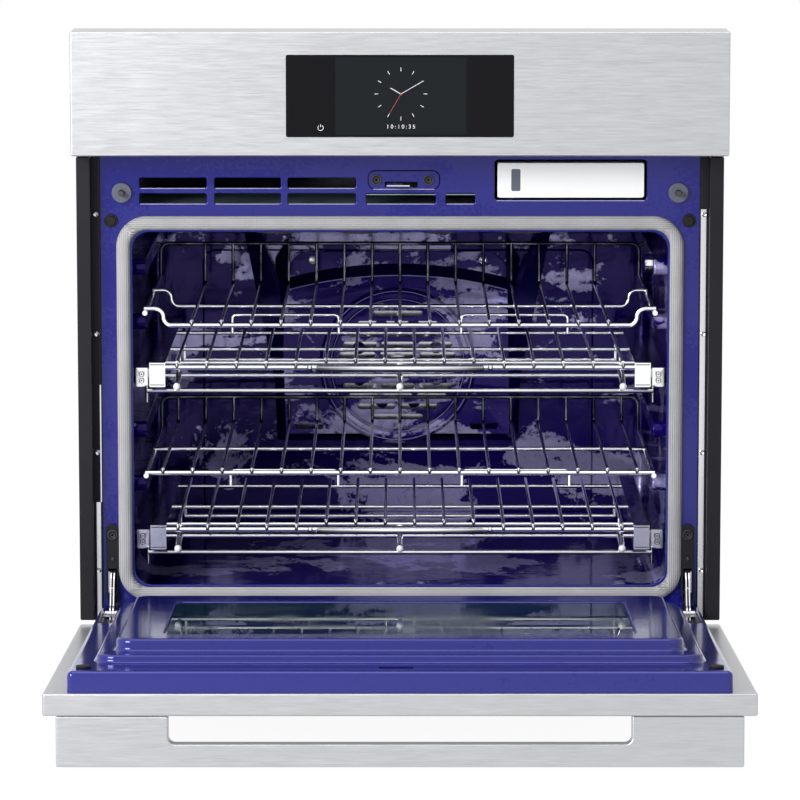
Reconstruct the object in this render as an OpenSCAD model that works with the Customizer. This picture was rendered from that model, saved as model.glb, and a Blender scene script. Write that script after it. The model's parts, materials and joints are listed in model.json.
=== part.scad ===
// Built-in electric steam and convection wall oven, shown with its door open.
// X = 0 is the centre plane, Y = 0 the cabinet face, Z = 0 the underside of the base; the front is -Y.

/* [Overall size] */
// Width of the control panel and of the door
front_w = 756; // [620:1:910]
// Height from the underside of the base to the top of the control panel
body_h = 751; // [625:1:905]
// Depth of the chassis behind the cabinet face
chassis_d = 600; // [500:1:720]
// How far the control panel and the closed door stand ahead of the cabinet face
proud = 64; // [56:1:77]

/* [Front] */
// Height of the control panel
fascia_h = 143; // [119:1:172]
// Width of the touch display glass
display_w = 260; // [216:1:312]
// Height of the touch display glass
display_h = 93; // [77:1:112]
// How much narrower the chassis is than the panel, on each side
side_reveal = 22.5; // [20:0.5:27]
// Thickness of the sheet metal
sheet = 1.2; // [1:0.1:1.5]
// Gap between the closed door and the control panel
door_gap = 4; // [3:0.5:5]
// Height of the door's lower edge above the base
door_z0 = 31; // [28:1:36]
// Width of the door gasket
gasket_w = 16; // [13:0.5:19]

/* [Door] */
// Angle between the open door and the closed one, in degrees
door_open = 86.5; // [72:0.5:90]
// Depth of the door's outer shell
shell_t = 24; // [22:0.5:28]
// Height of the hinge pin above the door's lower edge
pivot_up = 35.9; // [34:0.1:40]
// Projection of the handle from the door
handle_out = 55; // [46:1:55]
// Length of the opening behind the handle's grip
handle_slot = 490; // [408:1:588]

/* [Racks] */
// Diameter of the thick frame wires
frame_wire = 6; // [5:0.1:7.2]
// Diameter of the thin deck wires
deck_wire = 4; // [3.3:0.1:4.8]
// Spacing of the deck wires
wire_pitch = 34.9; // [29.1:0.1:40]

/* [Convection fan] */
// Radius of the fan wheel
fan_r = 76; // [63:1:82]
// Number of fan blades
fan_blades = 8; // [6:1:12]

/* [Fixing to the cabinet] */
// Radius of the four screw holes in the side flanges
screw_hole_r = 2.6; // [2.2:0.1:3.1]
// Height of the lower pair of screw holes
screw_z0 = 150; // [125:1:180]
// Vertical distance between the screw holes
screw_dz = 350; // [292:1:380]
// Radius of the conduit entry
conduit_r = 11.1; // [9.3:0.1:13.3]

/* [Hidden] */
$fn = 48;

// Clearances
slip = 0.3;      // between pieces that only lie next to each other
run = 0.05;      // radial clearance of a pin in its bore
enamel_t = 1.5;  // enamelled steel of the frame, the cavity and the door liner

// Main faces, from the overall size
front_hw = front_w / 2;
chassis_hw = front_hw - side_reveal;
frame_hw = chassis_hw - 6.9;
fascia_z0 = body_h - fascia_h;
chassis_h = body_h - 40;
door_z1 = fascia_z0 - door_gap;
face_y = -proud;

// Gasket, frame opening and cavity
gasket_hw = frame_hw - 18.1;
gasket_z = [door_z0 + 47.5, fascia_z0 - 75.1];
gasket_r = 36;
gasket_in_r = gasket_r - gasket_w;
mouth_lip = 2.7;
mouth_hw = gasket_hw - gasket_w - mouth_lip;
mouth_z = [gasket_z[0] + gasket_w + mouth_lip, gasket_z[1] - gasket_w - mouth_lip];
frame_z = [door_z0 + 24, fascia_z0 + 37];
cav_hw = gasket_hw - gasket_w + 0.5;
cav_z = [gasket_z[0] + 10.5, gasket_z[1] - 6.9];
cav_r = 22;
cav_back = chassis_d - 119.5;

// Rack guides: six ribs on each side wall, and the four levels in use
rib_hw = cav_hw - 16.5;
rib_h = 19;
rib_y = [42, cav_back - 15];
first_level = cav_z[0] + 67;
level_pitch = (cav_z[1] - 48.5 - first_level) / 5;
function level(n) = first_level + n * level_pitch;
rack_front = 25;
rack_back = cav_back - 80;
rack_mid = (rack_front + rack_back) / 2;
rail_hw = rib_hw + 0.5;
frame_r = frame_wire / 2;
deck_r = deck_wire / 2;
weld = 0.6;   // how far crossing wires sink into each other

// Door, drawn closed and then turned about its hinge pin
pivot_z = door_z0 + pivot_up;
pivot_y = face_y + shell_t + 16.7;
rim_y = face_y + shell_t;
liner_y = rim_y + 23.4;
land_y = liner_y + 8.5;
plug_y = land_y + 13.8;
gasket_y = land_y + slip;
liner_hw = front_hw - 26;
liner_z = [pivot_z + pivot_y + 3.4, door_z1 - 4];
land_hw = gasket_hw - 4.9;
land_z = [gasket_z[0] - 5.5, gasket_z[1] + 4.1];
plug_hw = mouth_hw - 5.8;
plug_z = [mouth_z[0] + 27.8, mouth_z[1] - 5.2];
window_hw = plug_hw - 52;
window_z = [plug_z[0] + 56, plug_z[1] - 44];

// Hinges
hinge_x = frame_hw - 10.8;
arm_t = 5;
pin_r = 4;
lock_y = -8;
lock_z = pivot_z + 27;

// Fan in the back wall
fan_x = -3;
fan_z = (cav_z[0] + cav_z[1]) / 2 - 10.1;
baffle_y = cav_back - 27.5;
shaft_r = 4;

// Parts of the band above the gasket, placed down from the control panel
slot_z = [fascia_z0 - 54.6, fascia_z0 - 36.4];
slot_h = 11.6;
slot_x = [[-frame_hw + 45.5, -frame_hw + 123.7], [-frame_hw + 132.9, -frame_hw + 209.9],
    [-frame_hw + 218, -frame_hw + 297.3]];
low_slot_x = [[-39.4, 41.5], [53.1, 87.2]];
switch_x = frame_hw - 25.1;
switch_z = fascia_z0 - 47.6;
switch_r = 11.6;
plunger_r = 3.3;
plunger_travel = 4;
bumper_x = frame_hw - 12.4;
bumper_z = fascia_z0 - 80.3;
bumper_r = 7.9;
latch_x = 4.5;
latch_plate_z = fascia_z0 - 32.7;
latch_z = latch_plate_z - 4.5;
latch_t = 1.5;
latch_pin = [-6, 34];
latch_tip = liner_y - 11.4;
tank_x = [frame_hw - 235.3, frame_hw - 65.1];
tank_z = [fascia_z0 - 53.2, fascia_z0 - 12.9];
tank_d = 250;
bay_gap = 3.2;

// Space above the insulation
top_z = gasket_z[1] + 10;
duct_z = [top_z, fascia_z0 - 24];
duct_x0 = slot_x[0][0] - 5;
duct_d = cav_back - 100;
blower = [-180, duct_d + 85];
wheel_r = 56;
wheel_z = [duct_z[0] + 12, duct_z[0] + 52];
lid_z = duct_z[0] + 60;

mount_x = chassis_hw + 11.5;

// ---------- shared shapes ----------

// A box between two corners, given as its spans along X, Y and Z.
module span(x, y, z) translate([x[0], y[0], z[0]]) cube([x[1] - x[0], y[1] - y[0], z[1] - z[0]]);

// A rectangle with round corners.
module rounded(x, z, r) {
    translate([x[0] + r, z[0]]) square([x[1] - x[0] - 2 * r, z[1] - z[0]]);
    translate([x[0], z[0] + r]) square([x[1] - x[0], z[1] - z[0] - 2 * r]);
    for (cx = [x[0] + r, x[1] - r], cz = [z[0] + r, z[1] - r]) translate([cx, cz]) circle(r);
}

// A flat outline in the XZ plane, thickened from y[0] to y[1].
module upright(y) translate([0, y[1], 0]) rotate([90, 0, 0]) linear_extrude(y[1] - y[0]) children();

// A plate with round corners that faces the front.
module plate(x, z, r, y) upright(y) rounded(x, z, r);

// Round bars along the three axes.
module bar_x(x, y, z, r) translate([x[0], y, z]) rotate([0, 90, 0]) cylinder(r = r, h = x[1] - x[0]);
module bar_y(x, y, z, r) translate([x, y[0], z]) rotate([-90, 0, 0]) cylinder(r = r, h = y[1] - y[0]);
module bar_z(x, y, z, r) translate([x, y, z[0]]) cylinder(r = r, h = z[1] - z[0]);

// A straight wire between two points.
module wire(a, b, r) {
    d = b - a;
    translate(a) rotate([0, acos(d[2] / norm(d)), atan2(d[1], d[0])]) cylinder(r = r, h = norm(d));
}

// A bent wire: an arc about c, in a plane across Y or across X, from angle a over angle da.
module bend_across_y(c, bend_r, a, da, r)
    translate(c) rotate([90, 0, 0]) rotate([0, 0, a]) rotate_extrude(angle = da) translate([bend_r, 0]) circle(r);
module bend_across_x(c, bend_r, a, da, r)
    translate(c) rotate([90, 0, 90]) rotate([0, 0, a]) rotate_extrude(angle = da) translate([bend_r, 0]) circle(r);

// The piece and its mirror image in the centre plane.
module both_sides() {
    children();
    mirror([1, 0, 0]) children();
}

// Turns door pieces from the closed place to the open one.
module opened() translate([0, pivot_y, pivot_z]) rotate([door_open, 0, 0])
    translate([0, -pivot_y, -pivot_z]) children();

// ---------- chassis ----------

module chassis_base() color("darkgray") difference() {
    union() {
        span([-chassis_hw, chassis_hw], [0, chassis_d], [0, sheet]);
        span([-chassis_hw + sheet, chassis_hw - sheet], [17, 17 + sheet], [sheet, frame_z[0]]);
        both_sides() difference() {
            span([230, 270], [90, cav_back + 20], [sheet / 2, cav_z[0] - 43]);
            span([230 + sheet, 270 - sheet], [89, cav_back + 21], [0, cav_z[0] - 43 - sheet]);
        }
    }
    for (i = [-3:3]) span([i * 84 - 30, i * 84 + 30], [16, 19], [18, 24]);
    for (i = [-3:3]) span([i * 84 - 30, i * 84 + 30], [16, 19], [30, 36]);
}

module chassis_side() difference() {
    union() {
        span([chassis_hw - sheet, chassis_hw], [0, chassis_d], [sheet, chassis_h - sheet]);
        span([frame_hw + slip, chassis_hw + 20.5], [-sheet, 0], [frame_z[0], door_z1 - 1]);
    }
    span([chassis_hw - 2, chassis_hw + 1], [-1, 17], [sheet, frame_z[0] - 3]);
    for (z = [screw_z0, screw_z0 + screw_dz]) bar_y(mount_x, [-2, 1], z, screw_hole_r);
}
module chassis_sides() color("silver") both_sides() chassis_side();

module chassis_back() color("silver") difference() {
    span([-chassis_hw + sheet, chassis_hw - sheet], [chassis_d - sheet, chassis_d], [sheet, chassis_h - sheet]);
    for (i = [-4:4]) span([i * 40 - 4, i * 40 + 4], [chassis_d - 2, chassis_d + 1], [chassis_h - 90, chassis_h - 40]);
    bar_y(-chassis_hw + 75, [chassis_d - 2, chassis_d + 1], chassis_h - 49, conduit_r);
}

module chassis_top() color("silver") difference() {
    span([-chassis_hw, chassis_hw], [0, chassis_d], [chassis_h - sheet, chassis_h]);
    for (i = [-3:3]) span([i * 60 - 20, i * 60 + 20], [chassis_d - 130, chassis_d - 122], [chassis_h - 2, chassis_h + 1]);
    for (i = [-3:3]) span([i * 60 - 20, i * 60 + 20], [chassis_d - 110, chassis_d - 102], [chassis_h - 2, chassis_h + 1]);
}

// ---------- enamelled front, trims and cavity ----------

module slot_row(xs, z, y) for (x = xs) plate(x, [z - slot_h / 2, z + slot_h / 2], 1.8, y);

module front_frame() color("midnightblue") difference() {
    union() {
        plate([-frame_hw, frame_hw], frame_z, 6, [0, enamel_t]);
        both_sides() span([frame_hw - enamel_t, frame_hw], [0.5, 20], [frame_z[0] + 6, frame_z[1] - 6]);
        span([-frame_hw + 6, frame_hw - 6], [0.5, 20], [frame_z[0], frame_z[0] + enamel_t]);
    }
    plate([-mouth_hw, mouth_hw], mouth_z, gasket_in_r, [-1, 3]);
    slot_row(slot_x, slot_z[1], [-1, 3]);
    slot_row(slot_x, slot_z[0], [-1, 3]);
    slot_row(low_slot_x, slot_z[0], [-1, 3]);
    plate([tank_x[0] - bay_gap, tank_x[1] + bay_gap], [tank_z[0] - bay_gap, tank_z[1] + bay_gap], 4, [-1, 3]);
    span([-21, 24], [-1, 3], [latch_z - 4, latch_z + 4]);
    both_sides() bar_y(switch_x, [-1, 3], switch_z, 8.2);
    both_sides() span([hinge_x - 5, hinge_x + 5], [-1, 3], [pivot_z - 4, pivot_z + 52]);
}

module side_trim() difference() {
    span([chassis_hw + 3.5, chassis_hw + 19.5], [-22, -sheet], [frame_z[0] + 5, door_z1 - 1]);
    span([chassis_hw + 5, chassis_hw + 18], [-20.5, 0], [frame_z[0] + 4, door_z1]);
}
module side_trims() color("#1c1b20") both_sides() side_trim();

module cavity_rib(grow) {
    x = [rib_hw - grow, cav_hw + 5];
    r = rib_h / 2 + grow;
    hull_y = [rib_y[0] + rib_h / 2, rib_y[1] - rib_h / 2];
    span(x, hull_y, [-r, r]);
    for (y = hull_y) bar_x(x, y, 0, r);
}

module cavity_liner() color("navy") difference() {
    union() {
        plate([-cav_hw - enamel_t, cav_hw + enamel_t], [cav_z[0] - enamel_t, cav_z[1] + enamel_t],
            cav_r + enamel_t, [enamel_t, cav_back + enamel_t]);
        plate([-cav_hw - 8, cav_hw + 8], [cav_z[0] - 8, cav_z[1] + 8], cav_r + 8, [enamel_t, 2 * enamel_t]);
    }
    difference() {
        plate([-cav_hw, cav_hw], cav_z, cav_r, [0, cav_back]);
        both_sides() for (n = [0:5]) translate([0, 0, level(n) - rib_h / 2]) cavity_rib(0);
    }
    both_sides() for (n = [0:5]) translate([0, 0, level(n) - rib_h / 2]) cavity_rib(-enamel_t);
    bar_y(fan_x, [cav_back - 1, cav_back + 2], fan_z, 14);
    both_sides() bar_y(lamp_x, [cav_back - 1, cav_back + 2], lamp_z, lamp_r - 2);
    for (x = element_x) bar_y(x, [cav_back - 1, cav_back + 2], fan_z - element_dz, element_r + slip);
    for (x = broil_x) bar_y(x, [cav_back - 1, cav_back + 2], broil_z, element_r + slip);
    bar_y(-200, [cav_back - 1, cav_back + 2], cav_z[1] - 26, 2.5 + slip);
    bar_x([rib_hw - 1, cav_hw + 9], jack_y, jack_z, 6 + slip);
}

module insulation_wrap() color("khaki") difference() {
    span([-chassis_hw + sheet + slip, chassis_hw - sheet - slip], [75, cav_back + 44],
        [cav_z[0] - 43, top_z]);
    span([-cav_hw - 3, cav_hw + 3], [74, cav_back + 4], [cav_z[0] - 10, cav_z[1] + 3]);
    bar_y(fan_x, [cav_back, cav_back + 50], fan_z, 54);
    both_sides() bar_y(lamp_x, [cav_back, cav_back + 50], lamp_z, lamp_r + 2);
    span([fan_x - 30, fan_x + 30], [cav_back, cav_back + 50], [fan_z - 110, fan_z]);
    span([broil_x[0] - 8, broil_x[1] + 8], [cav_back, cav_back + 50], [broil_z - 8, broil_z + 8]);
    span([-60, 60], [cav_back, cav_back + 50], [cav_z[0] - 10, cav_z[0]]);
    bar_y(-200, [cav_back, cav_back + 50], cav_z[1] - 26, 8);
}

module gasket() color("lightgray") difference() {
    plate([-gasket_hw, gasket_hw], gasket_z, gasket_r, [gasket_y, 0]);
    plate([-gasket_hw + gasket_w, gasket_hw - gasket_w], [gasket_z[0] + gasket_w, gasket_z[1] - gasket_w],
        gasket_in_r, [gasket_y - 1, 1]);
    span([-0.6, 0.6], [gasket_y - 1, 1], [gasket_z[0] - 1, gasket_z[0] + gasket_w + 1]);
}

// ---------- convection fan and heaters ----------

element_r = 3.5;
element_ring_r = 95;
element_x = [fan_x - 12, fan_x + 12];
element_dz = 94.1;
lamp_x = cav_hw - 75;
lamp_r = 24;
lamp_z = cav_z[1] - 31;
broil_z = cav_z[1] - 14;
broil_step = 48;
broil_x = [-3.5 * broil_step, 3.5 * broil_step];
jack_y = 58;
jack_z = level(5) - 5.4;

module baffle_outline(inset) intersection() {
    polygon([[fan_x - 154 + inset, fan_z - 100 + inset], [fan_x + 154 - inset, fan_z - 100 + inset],
        [fan_x + 160 - inset, fan_z + 103], [fan_x + 160 - inset, fan_z + 130],
        [fan_x - 160 + inset, fan_z + 130], [fan_x - 160 + inset, fan_z + 103]]);
    translate([fan_x, fan_z + 128 - 545]) circle(545 - inset, $fn = 180);
}

grille_pitch = 13.2;
grille_r = 78;
module grille_slots() for (row = [-5:5]) {
    half = sqrt(pow(grille_r, 2) - pow(abs(row) * grille_pitch + 4, 2));
    count = max(1, floor(2 * half / 42));
    step = 2 * half / count;
    for (i = [0:count - 1]) {
        x = fan_x - half + i * step;
        z = fan_z + row * grille_pitch;
        span([x + 2.5, x + step - 2.5], [baffle_y - 1, baffle_y + 3], [z - 3.6, z + 3.6]);
    }
}

module fan_baffle() color("navy") difference() {
    union() {
        difference() {
            upright([baffle_y, cav_back]) baffle_outline(0);
            upright([baffle_y + sheet, cav_back + 1]) baffle_outline(sheet);
        }
        difference() {
            upright([cav_back - sheet, cav_back]) polygon([[fan_x - 140, fan_z + 100], [fan_x + 140, fan_z + 100],
                [fan_x + 140, fan_z + 117], [fan_x + 117, fan_z + 140], [fan_x - 117, fan_z + 140],
                [fan_x - 140, fan_z + 117]]);
            upright([cav_back - 3, cav_back + 1]) baffle_outline(sheet / 2);
        }
    }
    grille_slots();
    for (x = [fan_x - 112, fan_x + 110])
        plate([x - 18, x + 18], [fan_z - 82, fan_z - 74], 3.5, [baffle_y - 1, baffle_y + 3]);
}

module fan_motor() color("dimgray") difference() {
    union() {
        bar_y(fan_x, [cav_back + 46, cav_back + 48], fan_z, 48);
        bar_y(fan_x, [cav_back + 48, cav_back + 100], fan_z, 38);
        for (a = [30:120:270])
            bar_y(fan_x + 42 * cos(a), [cav_back + enamel_t, cav_back + 46.5], fan_z + 42 * sin(a), 3.5);
    }
    bar_y(fan_x, [cav_back + 45, cav_back + 70], fan_z, shaft_r + run);
}

module convection_fan() color("lightgray") {
    bar_y(fan_x, [baffle_y + 5, cav_back + 60], fan_z, shaft_r);
    bar_y(fan_x, [baffle_y + 5, baffle_y + 19], fan_z, 12);
    difference() {
        bar_y(fan_x, [baffle_y + 17, baffle_y + 18.5], fan_z, fan_r);
        for (a = [0:360 / fan_blades:359]) translate([fan_x, 0, fan_z]) rotate([0, a + 22, 0])
            bar_y(fan_r * 0.7, [baffle_y + 16, baffle_y + 20], 0, 8);
    }
    for (a = [0:360 / fan_blades:359]) translate([fan_x, 0, fan_z]) rotate([0, a, 0])
        span([26, fan_r - 1], [baffle_y + 5, baffle_y + 17.5], [-0.8, 0.8]);
}

module convection_element() color("saddlebrown") {
    y = baffle_y + 15;
    translate([fan_x, y, fan_z]) rotate([90, 0, 0]) rotate([0, 0, -82]) rotate_extrude(angle = 344)
        translate([element_ring_r, 0]) circle(element_r);
    for (x = element_x) bar_y(x, [y, cav_back + 30], fan_z - element_dz, element_r - 0.2);
}

// The broil heater runs to and fro along Y, with round turns, and both ends leave through the back wall.
module broil_element() color("dimgray") {
    y = [60, cav_back - 70];
    for (i = [0:7]) {
        x = broil_x[0] + i * broil_step;
        bar_y(x, [y[0], i == 0 || i == 7 ? cav_back + 30 : y[1]], broil_z, element_r);
    }
    for (i = [0:6]) translate([broil_x[0] + (i + 0.5) * broil_step, i % 2 == 0 ? y[0] : y[1], broil_z])
        rotate([0, 0, i % 2 == 0 ? 180 : 0]) rotate_extrude(angle = 180)
            translate([broil_step / 2, 0]) circle(element_r);
}
module bake_element() color("dimgray") {
    z = cav_z[0] - enamel_t - element_r - 0.8;
    bar_x([-200, 200], 90, z, element_r);
    for (x = [-200, -130, -60, 60, 130, 200]) bar_y(x, [90, cav_back - 60], z, element_r - 0.2);
    bar_x([-200, 200], cav_back - 60, z, element_r);
    for (x = [-30, 30]) bar_y(x, [cav_back - 60, cav_back + 30], z, element_r - 0.2);
}

module lamp() difference() {
    union() {
        bar_y(lamp_x, [cav_back + enamel_t, cav_back + 46], lamp_z, lamp_r);
        bar_y(lamp_x, [cav_back + 2, cav_back + 30], lamp_z, lamp_r);
    }
    bar_y(lamp_x, [cav_back, cav_back + 36], lamp_z, lamp_r - 3);
}
module lamp_bulb() bar_y(lamp_x, [cav_back + 8, cav_back + 36], lamp_z, 6);
module lamps() color("ivory") both_sides() {
    lamp();
    lamp_bulb();
}
module lamp_lenses() color("lightcyan") both_sides() difference() {
    bar_y(lamp_x, [cav_back - 7, cav_back], lamp_z, lamp_r + 3);
    bar_y(lamp_x, [cav_back - 4, cav_back + 1], lamp_z, lamp_r - 2);
}
module temperature_sensor() color("silver") {
    bar_y(-200, [cav_back - 110, cav_back + 30], cav_z[1] - 26, 2.5);
    bar_y(-200, [cav_back - 1.5, cav_back], cav_z[1] - 26, 9);
}
module probe_jack() color("silver") difference() {
    union() {
        bar_x([rib_hw - 10.5, rib_hw], jack_y, jack_z, 10.8);
        bar_x([rib_hw - 1, rib_hw + 28], jack_y, jack_z, 6);
    }
    bar_x([rib_hw - 12, rib_hw + 15], jack_y, jack_z, 3.2);
}

// ---------- racks ----------

bend_r = 6;
s_drop = 19.5;

// A cross wire whose ends step up onto the side rails.
module stepped_cross_wire(y, z, r) {
    arc = s_drop / 2;
    x = rail_hw - 11.5 - s_drop;
    bar_x([-x, x], y, z, r);
    both_sides() {
        bend_across_y([x, y, z + arc], arc, -90, 90, r);
        bend_across_y([x + s_drop, y, z + arc], arc, 90, 90, r);
        bar_x([x + s_drop, rail_hw + 1], y, z + s_drop, r);
    }
}

// A deck wire that turns up at the back to join the back stop.
module deck_line(x, z, top) {
    bar_y(x, [rack_front - frame_r, rack_back - bend_r], z, deck_r);
    bend_across_x([x, rack_back - bend_r, z + bend_r], bend_r, -90, 90, deck_r);
    bar_z(x, rack_back, [z + bend_r, top], deck_r);
}

// Two loops under the deck keep the rack level when it is pulled out.
loop_x = [73, 200];
loop_r = 1.8;
module stabilisers(y, z, leg) both_sides() {
    bar_x([loop_x[0] + bend_r, loop_x[1] - bend_r], y, z, loop_r);
    bend_across_y([loop_x[0] + bend_r, y, z - bend_r], bend_r, 90, 90, loop_r);
    bend_across_y([loop_x[1] - bend_r, y, z - bend_r], bend_r, 0, 90, loop_r);
    for (x = loop_x) bar_z(x, y, [z - leg, z - bend_r], loop_r);
}

// The back stop: a cross wire on two legs that stand on the side rails.
module back_stop(z, top) {
    y = rack_back + deck_r + frame_r - 1 - weld;
    hw = rail_hw + 1;
    bar_x([-hw + 10, hw - 10], y, top, frame_r - 0.5);
    both_sides() {
        bend_across_y([hw - 10, y, top - 10], 10, 0, 90, frame_r - 0.5);
        bar_z(hw, y, [z, top - 10], frame_r - 0.5);
    }
}

module rack_upper() color("silver") {
    rail_z = level(4) + slip + frame_r;
    cross_z = rail_z + 5 - s_drop;
    top = level(5) - rib_h - 0.5;
    both_sides() bar_y(rail_hw, [rack_front - 3, rack_back + 6], rail_z, frame_r);
    stepped_cross_wire(rack_front, cross_z, frame_r);
    stepped_cross_wire(rack_mid, cross_z, frame_r - 0.5);
    for (i = [-7:7]) deck_line(i * wire_pitch, cross_z + frame_r + deck_r - weld, top);
    back_stop(rail_z, top);
    stabilisers(rack_front + 90, cross_z + frame_r - loop_r, 22);
}

module rack_lower() color("silver") {
    rail_z = level(1) + slip + frame_r;
    cross_z = rail_z + frame_r;
    top = level(2) - rib_h - 2;
    both_sides() bar_y(rail_hw, [rack_front - 3, rack_back + 6], rail_z, frame_r);
    bar_x([-rail_hw - 1, rail_hw + 1], rack_front, cross_z, frame_r);
    bar_x([-rail_hw - 1, rail_hw + 1], rack_mid, cross_z, frame_r - 0.5);
    for (i = [-8:8]) deck_line(i * wire_pitch, cross_z + frame_r + deck_r - weld, top);
    back_stop(rail_z, top);
    stabilisers(rack_front + 12, cross_z + frame_r - loop_r, 18);
}

// Gliding racks: fixed members hang on the ribs, links run at half speed, and the rack rides on them.
glide_hw = rib_hw - 4.9;
glide_y = [34, cav_back - 50];
module glide_base(t) {
    both_sides() {
        web = rib_hw - 2.1;
        span([web, web + 1.2], glide_y, [t - 20.8, t + 1.5]);
        span([web, rib_hw + 12.5], glide_y, [t + slip, t + 1.5]);
        span([web, rib_hw + 12.5], glide_y, [t - 20.8, t - rib_h - 0.6]);
        plate([web, rib_hw + 12.5], [t - 20.8, t + 1.5], 2, [glide_y[0] - 1.2, glide_y[0]]);
        for (z = [t - 6, t - 13.5]) bar_y(rib_hw + 5.5, [glide_y[0] - 2.4, glide_y[0] - 1], z, 2.6);
        span([web - 7.9, web], glide_y, [t - 10, t]);
        bar_z(rib_hw - 1, glide_y[0] - 1.5, [t - 39, t - 19], 2.1);
    }
    bar_x([-rib_hw + 1, rib_hw - 1], glide_y[0] - 3, t - 25.4, frame_r - 0.2);
}
module glide_bases() color("silver") {
    glide_base(level(3));
    glide_base(level(0));
}

module glide_link(t) both_sides()
    span([glide_hw - 13.5, glide_hw - 5.7], [glide_y[0] + 2, glide_y[1] - 4], [t - 12, t + 2]);
module glide_links_upper() color("gray") glide_link(level(3));
module glide_links_lower() color("gray") glide_link(level(0));

module glide_rack(t) {
    x0 = glide_hw - 18.6;
    back = glide_y[1] + 2;
    z = t + 5.5;
    line_z = z + frame_r + deck_r - 0.5 - weld;
    both_sides() {
        span([x0, glide_hw], [9.5, back], [t + 9.5, t + 10.7]);
        span([x0, x0 + 1.2], [9.5, back], [t - 17.9, t + 10.7]);
        span([x0, x0 + 12], [9.5, back], [t - 17.9, t - 16.7]);
        plate([x0, glide_hw], [t - 17.9, t + 10.7], 1.5, [8, 9.5]);
        span([x0 + 1.2, x0 + 4.4], [9.5, back], [t - 10, t]);
    }
    for (y = [48, rack_mid - 40, rack_back - 70]) bar_x([-x0 - 0.6, x0 + 0.6], y, z, frame_r - 0.5);
    bar_x([-x0 - 0.6, x0 + 0.6], 20, z - 1.7, frame_r + 0.2);
    bar_x([-x0 - 0.6, x0 + 0.6], 70, t - 12.4, frame_r - 0.5);
    for (i = [-7.5:7.5]) {
        long = abs(i) > 3;
        bar_y(i * wire_pitch, [long ? 20 : 48, rack_back - 38], line_z, deck_r);
    }
    for (x = [-7.5 * wire_pitch, 0, 7.5 * wire_pitch])
        wire([x, 14, t - 18.3], [x, 92, t - 6.5], frame_r + 0.75);
    for (i = [-7.5, 7.5]) bar_z(i * wire_pitch, 92, [t - 7, line_z], deck_r);
    bar_z(0.5 * wire_pitch, 92, [t - 7, line_z], deck_r);
    bar_x([0, 0.5 * wire_pitch], 92, t - 6.5, deck_r);
    bar_x([-7.5 * wire_pitch - 1, 7.5 * wire_pitch + 1], rack_mid, t - 12.4, frame_r - 0.5);
    for (i = [-7.5, -0.5, 0.5, 7.5]) bar_z(i * wire_pitch, rack_mid, [t - 12.4, line_z], deck_r);
}
module glide_rack_upper() color("silver") glide_rack(level(3));
module glide_rack_lower() color("silver") glide_rack(level(0));

// ---------- control panel and electronics ----------

module control_fascia() color("lightgray") difference() {
    span([-front_hw, front_hw], [face_y, 0], [fascia_z0, body_h]);
    span([-front_hw + 1.5, front_hw - 1.5], [face_y + 1.5, -1.5], [fascia_z0 + 1.5, body_h - 1.5]);
    span([-front_hw + 12, front_hw - 12], [-2, 1], [fascia_z0 + 10, chassis_h - 12]);
    plate([-display_w / 2 - slip, display_w / 2 + slip], display_z + [-slip, slip], 2, [face_y - 1, face_y + 3]);
}
display_z = [fascia_z0 + 22.8, fascia_z0 + 22.8 + display_h];
module touchscreen_glass() color("black")
    plate([-display_w / 2, display_w / 2], display_z, 1.7, [face_y - 0.4, face_y + 3.6]);
module display_module() color("dimgray") difference() {
    span([-display_w / 2 - 6, display_w / 2 + 6], [face_y + 1.5, face_y + 20], display_z + [-6, 6]);
    span([-display_w / 2 - slip, display_w / 2 + slip], [face_y + 1, face_y + 3.6], display_z + [-slip, slip]);
    span([-display_w / 2 + 6, display_w / 2 - 6], [face_y + 12, face_y + 21], display_z + [6, -6]);
}
module control_boards() color("darkgreen") {
    span([-display_w / 2 + 8, display_w / 2 - 8], [face_y + 26, face_y + 27.6], display_z + [2, -2]);
    for (x = [-display_w / 2 + 14, display_w / 2 - 14], z = display_z + [10, -10])
        bar_y(x, [face_y + 12, face_y + 26.5], z, 3);
    for (x = [-70, -10, 50]) span([x, x + 30], [face_y + 27.6, face_y + 38], [display_z[0] + 20, display_z[0] + 50]);
    translate([60, 60, chassis_h - 40]) {
        cube([180, 200, 1.6]);
        for (x = [10, 170], y = [10, 190]) bar_z(x, y, [1, 40 - sheet], 4);
        translate([20, 30, -28]) cube([50, 60, 28.5]);
        for (i = [0:3]) translate([95, 30 + i * 40, -16]) cube([60, 22, 16.5]);
    }
}
module terminal_box() color("silver") difference() {
    span([-chassis_hw + 20, -chassis_hw + 130], [chassis_d - 65, chassis_d - sheet], [chassis_h - 90, chassis_h - 8]);
    span([-chassis_hw + 21.5, -chassis_hw + 128.5], [chassis_d - 63.5, chassis_d], [chassis_h - 88.5, chassis_h - 9.5]);
}

// ---------- hinges, latch and switches ----------

module hinge_receivers() color("silver") both_sides() difference() {
    span([hinge_x - 8, hinge_x + 8], [enamel_t, 62], [pivot_z - 7, pivot_z + 62]);
    difference() {
        span([hinge_x - 6, hinge_x + 6], [0, 60], [pivot_z - 5, pivot_z + 60]);
        bar_x([hinge_x - 8, hinge_x + 8], 34, pivot_z + 15, 3.8);
    }
}
module hinge_covers() color("#1c1b20") both_sides() difference() {
    plate([max(hinge_x - 7.5, gasket_hw + slip), hinge_x + 7.5], [pivot_z + 10.6, pivot_z + 103.3], 7, [-3, 0]);
    span([hinge_x - 5, hinge_x + 5.6], [-4, 1], [pivot_z + 9, pivot_z + 50]);
}

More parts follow.
